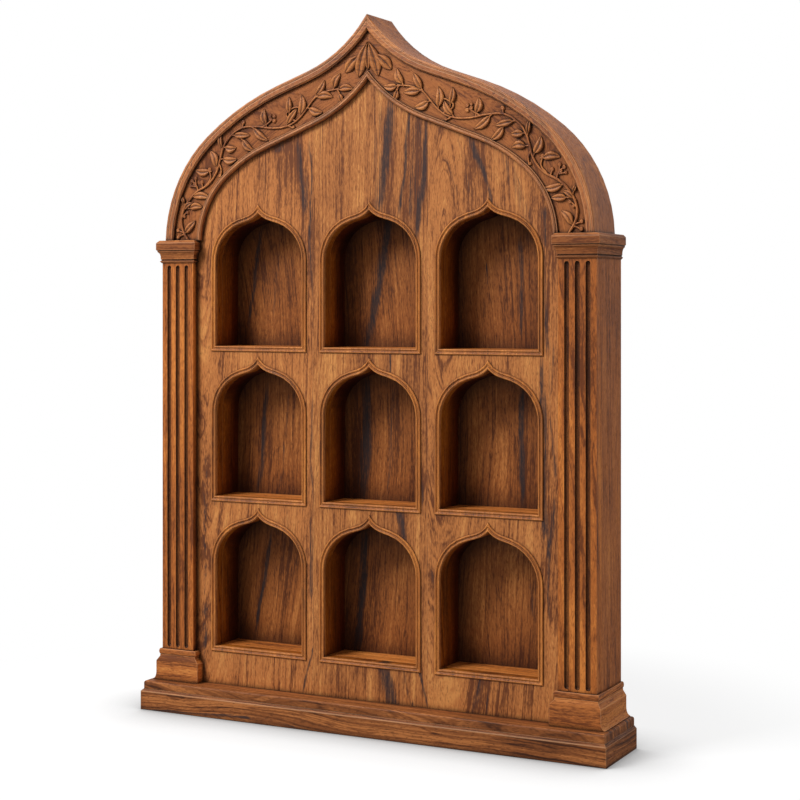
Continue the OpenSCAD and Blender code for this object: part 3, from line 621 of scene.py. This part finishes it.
# shelf floors: a lighter copy of the wood as painted light, with a little painted shade in the corners
shelfWood = woodMaterial("shelfWood", {"light": (240, 156, 78), "middle": (214, 128, 58),
                                       "reach": 0.006, "cornerShade": 0.35, "inkAmount": 0.2,
                                       "corner": (34, 11, 2)})
for shelf in ("shelf_bottom", "shelf_middle", "shelf_top", "ceiling_board"):
    finishNode(shelf, "shelf", lengthwise, shelfWood)
for post in ("post_outer_left", "divider_left", "divider_right", "post_outer_right"):
    finishNode(post, "post", upright, wallWood, sameTree)
soffitShade = (0.030, (138, 102, 66))       # painted shade: soffits darken upwards over this height, to this colour
for row in (1, 2, 3):
    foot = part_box(f"arch_block_{row}1")[0].z
    soffitWood = woodMaterial(f"soffitWood_{row}", dict(wallLook, paintedShadeAbove=(foot, *soffitShade)))
    for column in (1, 2, 3):
        finishNode(f"arch_block_{row}{column}", "soffit", upright, soffitWood,
                   sameTree)
# the back panel darkens widely into the niche corners: painted shade
backPanel = {
    "look": {"light": (192, 122, 62), "middle": (152, 88, 40), "dark": (90, 46, 20),
             "ink": (40, 37, 40), "heart": (-330, 60, 250), "taper": 0.35, "wander": 22,
             "ringWidth": 16, "inkAmount": 0.15, "corner": (34, 11, 2), "reach": 0.036,
             "cornerShade": 0.85},
    "streaks": [
        (-186, 524, 0.17, 5, 80, 0.85), (-156, 522, 0.12, 4, 77, 0.5), (-14, 522, 0.17, 12, 105, 1.0),
        (123, 527, 0, 4, 16, 0.7), (168, 518, -0.02, 5, 75, 0.7), (-174, 329, 0.10, 6, 82, 0.85),
        (-143, 330, 0.10, 4, 81, 0.5), (-31, 337, 0.03, 13, 95, 0.9), (3, 333, 0.07, 5, 81, 0.6),
        (169, 333, -0.02, 6.5, 95, 1.0), (-173, 154, 0.20, 6, 76, 0.95), (-37, 153, 0.09, 12, 90, 1.0),
        (180, 158, -0.03, 5, 26, 0.7)],
}
backWood = woodMaterial("backWood", backPanel["look"], streaks=backPanel["streaks"])
finishNode("back_panel", "panel", upright, backWood, sameTree)
railWood = woodMaterial("railWood", {"inkAmount": 0.2})
for rail in ("plinth_back", "hanging_rail"):
    finishNode(rail, "rail", lengthwise, railWood)
print("case finished")

# Face boards

# heart: across, behind and up; each streak: x, z, lean, half width, half length, amount
faceBoards = {
    "face_left": {
        "look": {"heart": (-230, 30, 200), "taper": 0.10, "middle": (194, 121, 65)},
        "streaks": [
            (-89, 642, -0.15, 10, 54, 0.8), (-81, 533, -0.05, 3, 81, 0.35),
            (-78, 601, 0, 3.5, 118, 0.85), (-120, 680, 0.3, 16, 9, 0.6), (-144, 635, 0, 8, 34, 0.4),
            (-74, 355, 0.01, 5, 112, 0.65), (-77, 196, 0.01, 8, 62, 0.8),
            (-80, 67, 0.26, 3.5, 38, 0.8), (-226, 86, 0.01, 9, 60, 0.6),
            (-226, 225, 0.01, 6, 112, 0.5)],
    },
    "face_centre": {
        "look": {"heart": (-190, 40, 200), "taper": 0.08, "middle": (183, 114, 61)},
        "streaks": [
            (21, 661, 0.13, 11, 78, 0.95), (46, 652, 0.12, 3.5, 72, 0.95), (67, 635, 0.11, 7, 76, 0.95),
            (57, 648, 0.11, 17, 76, 0.5), (10, 678, 0.12, 13, 52, 0.45),
            (27, 426, 0, 5.5, 18, 0.8), (-1, 429, 0, 9, 12, 0.55), (41, 236, -0.16, 10, 30, 0.9),
            (25, 58, -0.31, 15, 40, 0.95), (69, 62, -0.24, 3.5, 38, 0.9), (49, 60, -0.26, 3, 38, 0.55),
            (65, 319, -0.02, 4, 69, 0.65)],
    },
    "face_right": {
        "look": {"heart": (96, 20, 260), "taper": 0.13, "middle": (193, 121, 65)},
        "streaks": [
            (184, 622, -0.45, 20, 52, 0.45), (122, 647, -0.30, 3.5, 43, 0.45),
            (143, 641, -0.37, 6, 50, 0.85), (191, 618, -0.38, 3, 30, 0.55),
            (104, 636, -0.31, 3, 28, 0.4), (220, 578, -0.06, 9, 28, 0.75),
            (220, 495, -0.04, 6.5, 76, 0.7), (216, 385, -0.05, 7, 64, 0.75), (216, 287, 0, 8, 66, 0.85),
            (222, 213, -0.04, 4.5, 80, 0.8), (227, 335, -0.15, 4.5, 42, 0.75),
            (225, 250, 0.12, 4.5, 40, 0.75), (226, 420, 0.10, 4, 36, 0.7),
            (138, 58, 0.22, 14, 30, 0.65), (152, 60, 0.10, 4, 30, 0.6), (80, 203, -0.03, 3, 52, 0.4)],
    },
}
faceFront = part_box("face_centre")[0].y
faceLook = {
    "light": (218, 148, 82), "dark": (112, 62, 34), "inkAmount": 0.35,
    "paintedShadeBehind": (faceFront + 0.0015, 0.004, (214, 190, 112)),     # painted shade on the edges of the openings
}
for board, made in faceBoards.items():
    look = dict(faceLook, **made["look"])
    boardWood = woodMaterial(board + "_wood", look, streaks=made["streaks"])
    finishNode(board, "face", upright, boardWood, sameTree)
print("face boards finished")

# Mouldings round the niches

# painted shade in the grooves of the mouldings and a painted highlight along their edges
trimWood = woodMaterial("trimWood", {"light": (216, 136, 62), "middle": (172, 97, 40), "reach": 0.0035,
                                     "cornerShade": 1.0, "darkAt": 0.5, "clearAt": 0.97,
                                     "inkAmount": 0.3, "edgeLift": 0.5, "shine": 0.25,
                                     "edgeHighlight": (232, 154, 84)})
for row in (1, 2, 3):
    for column in (1, 2, 3):
        finishNode(f"niche_trim_{row}{column}", "trim", upright, trimWood)
print("niche mouldings finished")

# Pilasters

# painted shade in the flutes and a painted highlight along their edges
pilasterWood = woodMaterial("pilasterWood", {"reach": 0.008, "cornerShade": 1.0, "darkAt": 0.6,
                                             "clearAt": 0.98, "heart": (60, 90, 0), "inkAmount": 0.35,
                                             "edgeLift": 0.55, "light": (222, 136, 62),
                                             "middle": (182, 103, 45), "dark": (110, 57, 26)})
blockWood = woodMaterial("blockWood", {"reach": 0.007, "darkAt": 0.5, "cornerShade": 0.9,
                                       "heart": (60, 60, 0), "inkAmount": 0.4,
                                       "light": (220, 142, 72), "middle": (190, 112, 54),
                                       "dark": (120, 65, 32)})
# painted shade in the lines of the capital's mouldings
capitalWood = woodMaterial("capitalWood", {"reach": 0.010, "darkAt": 0.66, "clearAt": 0.98,
                                           "cornerShade": 1.0, "edgeLift": 0.25,
                                           "heart": (60, 60, 0), "inkAmount": 0.4,
                                           "light": (198, 124, 64), "middle": (156, 91, 46)})
for side in ("left", "right"):
    finishNode("pilaster_" + side, "pilaster", upright, pilasterWood)
    for block, wood in (("pedestal_", blockWood), ("base_bead_", blockWood),
                        ("capital_", capitalWood), ("abacus_", capitalWood)):
        finishNode(block + side, "block", roundTheCorner, wood)
print("pilasters finished")

# Crown

rimWood = woodMaterial("rimWood", {"light": (206, 128, 62), "middle": (168, 96, 45), "reach": 0.005,
                                   "heart": (200, 60, 0), "cornerShade": 0.95, "darkAt": 0.5,
                                   "clearAt": 0.97, "inkAmount": 0.35, "shine": 0.4})
# painted shade on the band round the carved leaves
friezeWood = woodMaterial("friezeWood", {"reach": 0.006, "cornerShade": 1.0, "heart": (200, 60, 0),
                                         "inkAmount": 0.25, "light": (186, 114, 58),
                                         "middle": (168, 99, 51)})
friezeShift = {}
for side in ("left", "right"):
    finishNode("arch_rim_" + side, "rim", roundTheArch, rimWood)
    finishNode("arch_bead_" + side, "bead", roundTheArch, rimWood)
    friezeShift[side] = nextBoard()
    finishNode("frieze_" + side, "frieze", roundTheArch, friezeWood, friezeShift[side])
print("crown finished")

# Carved leaves and vine

leafForm = {
    "lengthSteps": 10,
    "widthSteps": 6,
    "standOut": 0.0042,     # height of a full-sized leaf above the band
    "sunk": 0.0008,         # how far its edge goes into the band
    "heights": {0.0: 0.5, 0.1667: 1.0, 0.3333: 0.92, 0.5: 0.6},     # by distance from the midrib
    "tipHeight": 0.5,
    "topAhead": 0.1,        # how far the highest part lies before the middle
    "narrowest": 0.02,
    "bluntness": 0.7,
    "near": 0.02,           # how close a corner lies to the line it belongs to
    "merge": 0.004,
    "fuller": (1.07, 1.12),     # makes up for what rounding off takes from length and width
}
budForm = {
    "segments": 12,
    "rings": 8,
    "dimple": 0.2,
    "dimpleFrom": 0.49,     # takes in the pole of the berry alone
    "fuller": 1.15,
    "height": 1.4,          # in heights of a leaf
}
stemForm = {
    "width": 3.5,           # of the main stem, in millimetres
    "lift": 0.0012,         # height of its middle above the band
    "lengthSteps": 5,
    "roundSteps": 2,
    # width as a share of the main stem's, and how much of it is left at the end
    "stem": (1.0, 0.55), "stalk": (0.7, 0.8), "petiole": (0.55, 0.9),
    "petioleBehind": 3.5,       # how far it starts behind the foot of a leaf, in millimetres
    "petioleInside": 0.25,      # and how far it runs on, in lengths of the leaf
}


def leafWidth(t, fullness):
    # full at two fifths of the length where fullness is 0.8, and nearer the tip where it is more
    return max(leafForm["narrowest"], math.sin(math.pi * t ** fullness) ** leafForm["bluntness"])


def leafHeight(t):
    low = leafForm["tipHeight"]
    return low + (1 - low) * math.sin(math.pi * min(1, t + leafForm["topAhead"]))


def modelLeaf(name, camber, fullness=0.8):
    # a leaf 1 long, 1 wide and 1 high, its foot at the origin, its midrib bent by camber
    bpy.ops.object.select_all(action="DESELECT")
    bpy.ops.mesh.primitive_grid_add(x_subdivisions=leafForm["lengthSteps"],
                                    y_subdivisions=leafForm["widthSteps"],
                                    size=1, location=(0.5, 0, 0))
    leaf = bpy.context.object
    leaf.name = name
    bpy.ops.object.transform_apply(location=True)
    leafPlace = leaf.data.attributes.new("leafPlace", "FLOAT_VECTOR", "POINT")
    for vertex in leaf.data.vertices:
        leafPlace.data[vertex.index].vector = (vertex.co.x, vertex.co.y, 1.0)
    bpy.ops.object.mode_set(mode="EDIT")
    bpy.ops.mesh.select_all(action="SELECT")
    bpy.ops.mesh.extrude_region_move(TRANSFORM_OT_translate={"value": (0, 0, 1)})
    for aside, height in leafForm["heights"].items():
        pickVertices(lambda co: co.z > 0.5 and abs(abs(co.y) - aside) < leafForm["near"])
        bpy.ops.transform.translate(value=(0, 0, height - 1))
    for step in range(leafForm["lengthSteps"] + 1):
        t = step / leafForm["lengthSteps"]
        pickVertices(lambda co: abs(co.x - t) < leafForm["near"])
        bpy.ops.transform.resize(value=(1, leafWidth(t, fullness), leafHeight(t)),
                                 center_override=(t, 0, 0))
        bpy.ops.transform.translate(value=(0, camber * math.sin(math.pi * t), 0))
    bpy.ops.mesh.select_all(action="SELECT")
    bpy.ops.mesh.remove_doubles(threshold=leafForm["merge"])
    bpy.ops.mesh.normals_make_consistent(inside=False)
    bpy.ops.object.mode_set(mode="OBJECT")
    return leaf


def modelBud(name):
    # a round berry with a dimple at its front, 1 across
    bpy.ops.object.select_all(action="DESELECT")
    bpy.ops.mesh.primitive_uv_sphere_add(segments=budForm["segments"], ring_count=budForm["rings"],
                                         radius=0.5, location=(0, 0, 0))
    bud = bpy.context.object
    bud.name = name
    bpy.ops.object.mode_set(mode="EDIT")
    pickVertices(lambda co: co.z > budForm["dimpleFrom"])
    bpy.ops.transform.translate(value=(0, 0, -budForm["dimple"]))
    bpy.ops.object.mode_set(mode="OBJECT")
    return bud


# name, camber, fullness
leafModels = [modelLeaf("leafStraight", 0.0), modelLeaf("leafLeft", 0.22),
              modelLeaf("leafRight", -0.22)]
sprayModels = [modelLeaf("sprayStraight", 0.0, 1.0), modelLeaf("sprayLeft", 0.12, 1.4),
               modelLeaf("sprayRight", -0.12, 1.4)]
budModel = modelBud("budModel")


def placeOnBand(model, across, up, angle, size, mirror):
    # lays a copy of a model on the band, facing forwards
    copy = model.copy()
    copy.data = model.data.copy()
    bpy.context.scene.collection.objects.link(copy)
    if mirror:
        across, angle = -across, 180 - angle
    copy.location = (across * mm, front + leafForm["sunk"], springHeight + up * mm)
    copy.rotation_euler = (math.radians(90), -math.radians(angle), 0)
    fuller = (*leafForm["fuller"], 1)
    copy.scale = [s * f * mm for s, f in zip(size, fuller)]
    return copy


def placeStem(points, kind, mirror):
    share, taper = stemForm[kind]
    curve = bpy.data.curves.new("stemCurve", "CURVE")
    curve.dimensions = "3D"
    curve.bevel_depth = stemForm["width"] * share / 2 * mm
    curve.bevel_resolution = stemForm["roundSteps"]
    curve.resolution_u = stemForm["lengthSteps"]
    curve.use_fill_caps = True
    spline = curve.splines.new("BEZIER")
    spline.bezier_points.add(len(points) - 1)
    for index, (across, up) in enumerate(points):
        knot = spline.bezier_points[index]
        knot.co = ((-across if mirror else across) * mm, front - stemForm["lift"],
                   springHeight + up * mm)
        knot.handle_left_type = knot.handle_right_type = "AUTO"
        knot.radius = 1 - (1 - taper) * index / (len(points) - 1)
    stem = bpy.data.objects.new("stem", curve)
    bpy.context.scene.collection.objects.link(stem)
    pick(stem)
    bpy.ops.object.convert(target="MESH")
    return stem


# Right half in millimetres, across from the middle and up from the spring; the left half mirrors it
vine = {
    "stem": [(248, 0), (256, 15), (257, 28), (249, 45), (236, 58), (219, 67), (207, 81), (202, 95),
             (197, 111), (189, 122), (172, 133), (151, 134), (127, 131), (107, 133), (93, 140),
             (82, 151), (69, 165), (57, 170), (38, 173)],
    "stalks": [
        [(253, 9), (262, 12)], [(253, 8), (262, 4)], [(257, 28), (250, 34)],
        [(233, 60), (236, 67), (242, 72)], [(236, 66), (237, 75)], [(236, 65), (244, 66)],
        [(226, 62), (228, 70)], [(222, 66), (215, 75), (217, 84)], [(170, 133), (169, 139)],
        [(142, 133), (133, 138), (128, 142)], [(96, 138), (109, 146), (104, 151), (98, 154), (92, 154)],
        [(40, 172), (37, 167)], [(106, 133), (100, 130)], [(203, 92), (200, 84), (201, 76)]],
    # foot across and up, direction, length, width
    "leaves": [
        (252, 9, 134, 20, 9), (253, 38, 147, 14, 6.5), (245, 39, 179, 17, 8.5), (240, 53, 185, 22, 9),
        (253, 45, 71, 9, 4.5), (217, 83, 4, 19, 9.5), (207, 88, 69, 20, 10), (199, 110, 84, 17, 6),
        (194, 111, 182, 14, 9), (197, 97, 182, 17, 9.5), (182, 125, 186, 21, 8), (170, 119, 222, 19, 9),
        (154, 132, 215, 23, 9), (137, 136, 80, 17, 9.5), (108, 135, 123, 20, 8), (105, 148, 86, 18, 8),
        (90, 145, 92, 22, 10), (78, 152, 198, 18, 9.5), (69, 167, 119, 20, 8.5),
        (67, 165, 180, 20, 9.5), (45, 174, 114, 18, 9.5), (38, 167, 248, 12, 7),
        (38, 172, 181, 17, 8.5)],
    # middle across and up, diameter
    "buds": [
        (262.5, 12.5, 5), (262, 4, 5), (249, 34, 4.4), (253, 29, 4), (242, 72, 5), (237, 75, 4.4),
        (238, 68, 5.4), (244, 66, 4), (228, 70, 4.8), (217, 85, 5), (202, 77, 4),
        (169, 140, 5.6), (131, 142, 5), (126, 140, 5.4), (126, 145, 5), (131, 146, 4),
        (99.5, 131, 4.2)],
    # no two leaves alike: degrees turned, and shares of length and height
    "seeds": {"left": 3, "right": 5},
    "turn": 4, "lengths": (0.97, 1.05), "heights": (0.9, 1.0),
}


def carve(name, parts, side, levels=1):
    # joins carved parts into one piece and dresses it
    bpy.ops.object.select_all(action="DESELECT")
    for part in parts:
        part.select_set(True)
    bpy.context.view_layer.objects.active = parts[0]
    bpy.ops.object.join()
    piece = bpy.context.object
    piece.name = name
    bpy.ops.object.transform_apply(location=True, rotation=True, scale=True)
    bpy.ops.object.mode_set(mode="EDIT")
    bpy.ops.mesh.select_all(action="SELECT")
    bpy.ops.mesh.normals_make_consistent(inside=False)
    bpy.ops.object.mode_set(mode="OBJECT")
    finer = piece.modifiers.new("roundOff", "SUBSURF")
    finer.levels = finer.render_levels = levels
    applyModifier(piece, finer)
    bpy.ops.object.shade_smooth()
    layGrain(piece, roundTheArch, friezeShift[side])
    piece.data.materials.clear()
    piece.data.materials.append(leafWood)
    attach(piece, "root")
    return piece


# painted shade in the cuts and round the carved leaves, and painted highlight on their crests
leafWood = woodMaterial("leafWood", {"reach": 0.004, "cornerShade": 0.9, "heart": (200, 60, 0),
                                     "inkAmount": 0.2, "bump": 0.2, "shine": 0.35,
                                     "leafShadeAndHighlight": [(44, 20, 9), (210, 136, 74)]})


def carveVine(side):
    mirror = side == "left"
    vary = random.Random(vine["seeds"][side])
    parts = [placeStem(vine["stem"], "stem", mirror)]
    for stalk in vine["stalks"]:
        parts.append(placeStem(stalk, "stalk", mirror))
    thick = (leafForm["standOut"] + leafForm["sunk"]) / mm
    for across, up, angle, length, width in vine["leaves"]:
        model = vary.choice(leafModels)
        turned = angle + vary.uniform(-vine["turn"], vine["turn"])
        heading = Vector((math.cos(math.radians(angle)), math.sin(math.radians(angle))))
        foot = Vector((across, up))
        petiole = [foot - heading * stemForm["petioleBehind"],
                   foot + heading * length * stemForm["petioleInside"]]
        parts.append(placeStem(petiole, "petiole", mirror))
        size = (length * vary.uniform(*vine["lengths"]), width,
                thick * vary.uniform(*vine["heights"]))
        parts.append(placeOnBand(model, across, up, turned, size, mirror))
    for across, up, diameter in vine["buds"]:
        fullDiameter = diameter * budForm["fuller"]
        size = (fullDiameter, fullDiameter, thick * budForm["height"])
        parts.append(placeOnBand(budModel, across, up, 0, size, mirror))
    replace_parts(carve("carved_vine_" + side, parts, side), "vine_" + side)


for side in ("left", "right"):
    carveVine(side)

# Five leaves under the point of the crown
crownSpray = {
    # foot across and up from the top of the spray, direction, length, width
    "leaves": [(0, 0, -107, 40, 14.5), (0.5, 0, -73, 40, 14.5), (0, -6, -90, 25, 9),
               (-9, -15, -138, 27, 12.5), (9, -15, -42, 27, 12.5)],
    "height": 5.4,
    "below": 13,            # distance below the point of the band
}
sprayTop = (bandTop - springHeight) / mm - crownSpray["below"]
parts = []
for across, up, angle, length, width in crownSpray["leaves"]:
    model = sprayModels[0] if angle == -90 else sprayModels[1 if angle > -90 else 2]
    size = (length, width, crownSpray["height"])
    parts.append(placeOnBand(model, across, sprayTop + up, angle, size, False))
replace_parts(carve("crown_leaves", parts, "left", 2), "crown_spray")

for model in leafModels + sprayModels + [budModel]:
    bpy.data.objects.remove(model)
print("carving finished")

# Screws

steelLook = {
    "dull": (150, 147, 138),
    "bright": (196, 193, 182),
    "clouds": 400.0,        # per metre
    "cloudDetail": 3.0,
    "roughness": (0.3, 0.7, 0.28, 0.5),     # lowest and highest cloud, and roughness at each
}


def steelMaterial(look):
    material = bpy.data.materials.new("zincedSteel")
    material.use_nodes = True
    tree = material.node_tree
    surface = tree.nodes["Principled BSDF"]
    place = tree.nodes.new("ShaderNodeTexCoord").outputs["Object"]
    cloud = vectorCalc(tree, "SCALE", place, look["clouds"])
    cloud = noise(tree, cloud, look["cloudDetail"]).outputs["Fac"]
    colour = mixColour(tree, cloud, shade(*look["dull"]), shade(*look["bright"]))
    wire(tree, colour, surface.inputs["Base Color"])
    wire(tree, remap(tree, cloud, *look["roughness"]), surface.inputs["Roughness"])
    surface.inputs["Metallic"].default_value = 1.0
    return material


steel = steelMaterial(steelLook)
for screws in ("plinth_screws", "rail_screws"):
    nodes[screws].data.materials.clear()
    nodes[screws].data.materials.append(steel)
print("screws finished")

# Floor, backdrop and light

stageLook = {
    "floorSize": 14.0,
    "floorDrop": 0.0003,    # keeps the floor clear of the underside of the plinth
    "paper": 0.45,          # how much light the floor gives back to the object
    "paperSeen": 0.28,      # the same for the camera
    "glow": 0.77,           # and how bright the camera sees it where no light falls
    "contact": (0.10, 1.5, 0.3),    # painted soft shade on the floor beside the object: reach, strength, darkest
    "clearFrom": 0.36,      # metres from the object where the floor starts to turn plain white
    "clearAt": 0.64,
    "ambient": 0.24,
    "glossSeen": 0.6,       # share of the white backdrop that shows in the sheen of the wood
}
lamps = [
    # name, place, aim, width, power
    ("keyLight", (-1.25, -1.9, 2.2), (0.0, 0.0, 0.40), 1.05, 72.0),
    ("sideLight", (3.0, 0.3, 1.3), (0.0, 0.0, 0.40), 1.6, 14.0),
    ("topLight", (0.0, 0.2, 2.6), (0.0, 0.0, 0.50), 1.2, 14.0),
]


def layFloor(look):
    bpy.ops.object.select_all(action="DESELECT")
    bpy.ops.mesh.primitive_plane_add(size=look["floorSize"], location=(0, 0, -look["floorDrop"]))
    floor = bpy.context.object
    floor.name = "floor"
    bpy.ops.object.transform_apply(location=True)
    material = bpy.data.materials.new("whitePaper")
    material.use_nodes = True
    tree = material.node_tree
    tree.nodes.remove(tree.nodes["Principled BSDF"])
    lit = tree.nodes.new("ShaderNodeBsdfDiffuse")
    glow = tree.nodes.new("ShaderNodeEmission")
    both = tree.nodes.new("ShaderNodeAddShader")
    white = tree.nodes.new("ShaderNodeEmission")
    place = tree.nodes.new("ShaderNodeTexCoord").outputs["Object"]
    distance = tree.nodes.new("ShaderNodeVectorMath")
    distance.operation = "LENGTH"
    wire(tree, place, distance.inputs[0])
    plain = remap(tree, distance.outputs["Value"], look["clearFrom"], look["clearAt"])
    seen = tree.nodes.new("ShaderNodeLightPath").outputs["Is Camera Ray"]
    wire(tree, mixColour(tree, seen, (look["paper"],) * 3 + (1,), (look["paperSeen"],) * 3 + (1,)),
         lit.inputs["Color"])
    # painted shade on the floor beside the object, from ambient occlusion, darkening what the camera
    # sees
    beside = tree.nodes.new("ShaderNodeAmbientOcclusion")
    beside.inputs["Distance"].default_value, strength, darkest = look["contact"]
    contact = calc(tree, "MULTIPLY_ADD", beside.outputs["AO"], strength, 1 - strength)
    contact = calc(tree, "MAXIMUM", contact, darkest)
    wire(tree, calc(tree, "MULTIPLY", calc(tree, "MULTIPLY", seen, look["glow"]), contact),
         glow.inputs["Strength"])
    wire(tree, lit.outputs[0], both.inputs[0])
    wire(tree, glow.outputs[0], both.inputs[1])
    blend = tree.nodes.new("ShaderNodeMixShader")
    wire(tree, calc(tree, "MULTIPLY", plain, seen), blend.inputs[0])
    wire(tree, both.outputs[0], blend.inputs[1])
    wire(tree, white.outputs[0], blend.inputs[2])
    wire(tree, blend.outputs[0], tree.nodes["Material Output"].inputs["Surface"])
    floor.data.materials.append(material)


def lightWorld(look):
    world = bpy.data.worlds.new("whiteStudio")
    bpy.context.scene.world = world
    world.use_nodes = True
    tree = world.node_tree
    ambient = tree.nodes["Background"]
    ambient.inputs["Color"].default_value = (1.0, 1.0, 1.0, 1)
    ambient.inputs["Strength"].default_value = look["ambient"]
    white = tree.nodes.new("ShaderNodeBackground")
    white.inputs["Color"].default_value = (1, 1, 1, 1)
    white.inputs["Strength"].default_value = 1.0
    rays = tree.nodes.new("ShaderNodeLightPath").outputs
    mirrored = calc(tree, "MULTIPLY", rays["Is Glossy Ray"], look["glossSeen"])
    blend = tree.nodes.new("ShaderNodeMixShader")
    wire(tree, calc(tree, "MAXIMUM", rays["Is Camera Ray"], mirrored), blend.inputs[0])
    wire(tree, ambient.outputs[0], blend.inputs[1])
    wire(tree, white.outputs[0], blend.inputs[2])
    wire(tree, blend.outputs[0], tree.nodes["World Output"].inputs["Surface"])


def hangLamps():
    for name, place, aim, width, power in lamps:
        bpy.ops.object.light_add(type="AREA", location=place)
        lamp = bpy.context.object
        lamp.name = name
        lamp.data.size = width
        lamp.data.energy = power
        aimAt(lamp, aim)


layFloor(stageLook)
lightWorld(stageLook)
hangLamps()
bpy.context.scene.view_settings.view_transform = "Standard"
print("stage lit")
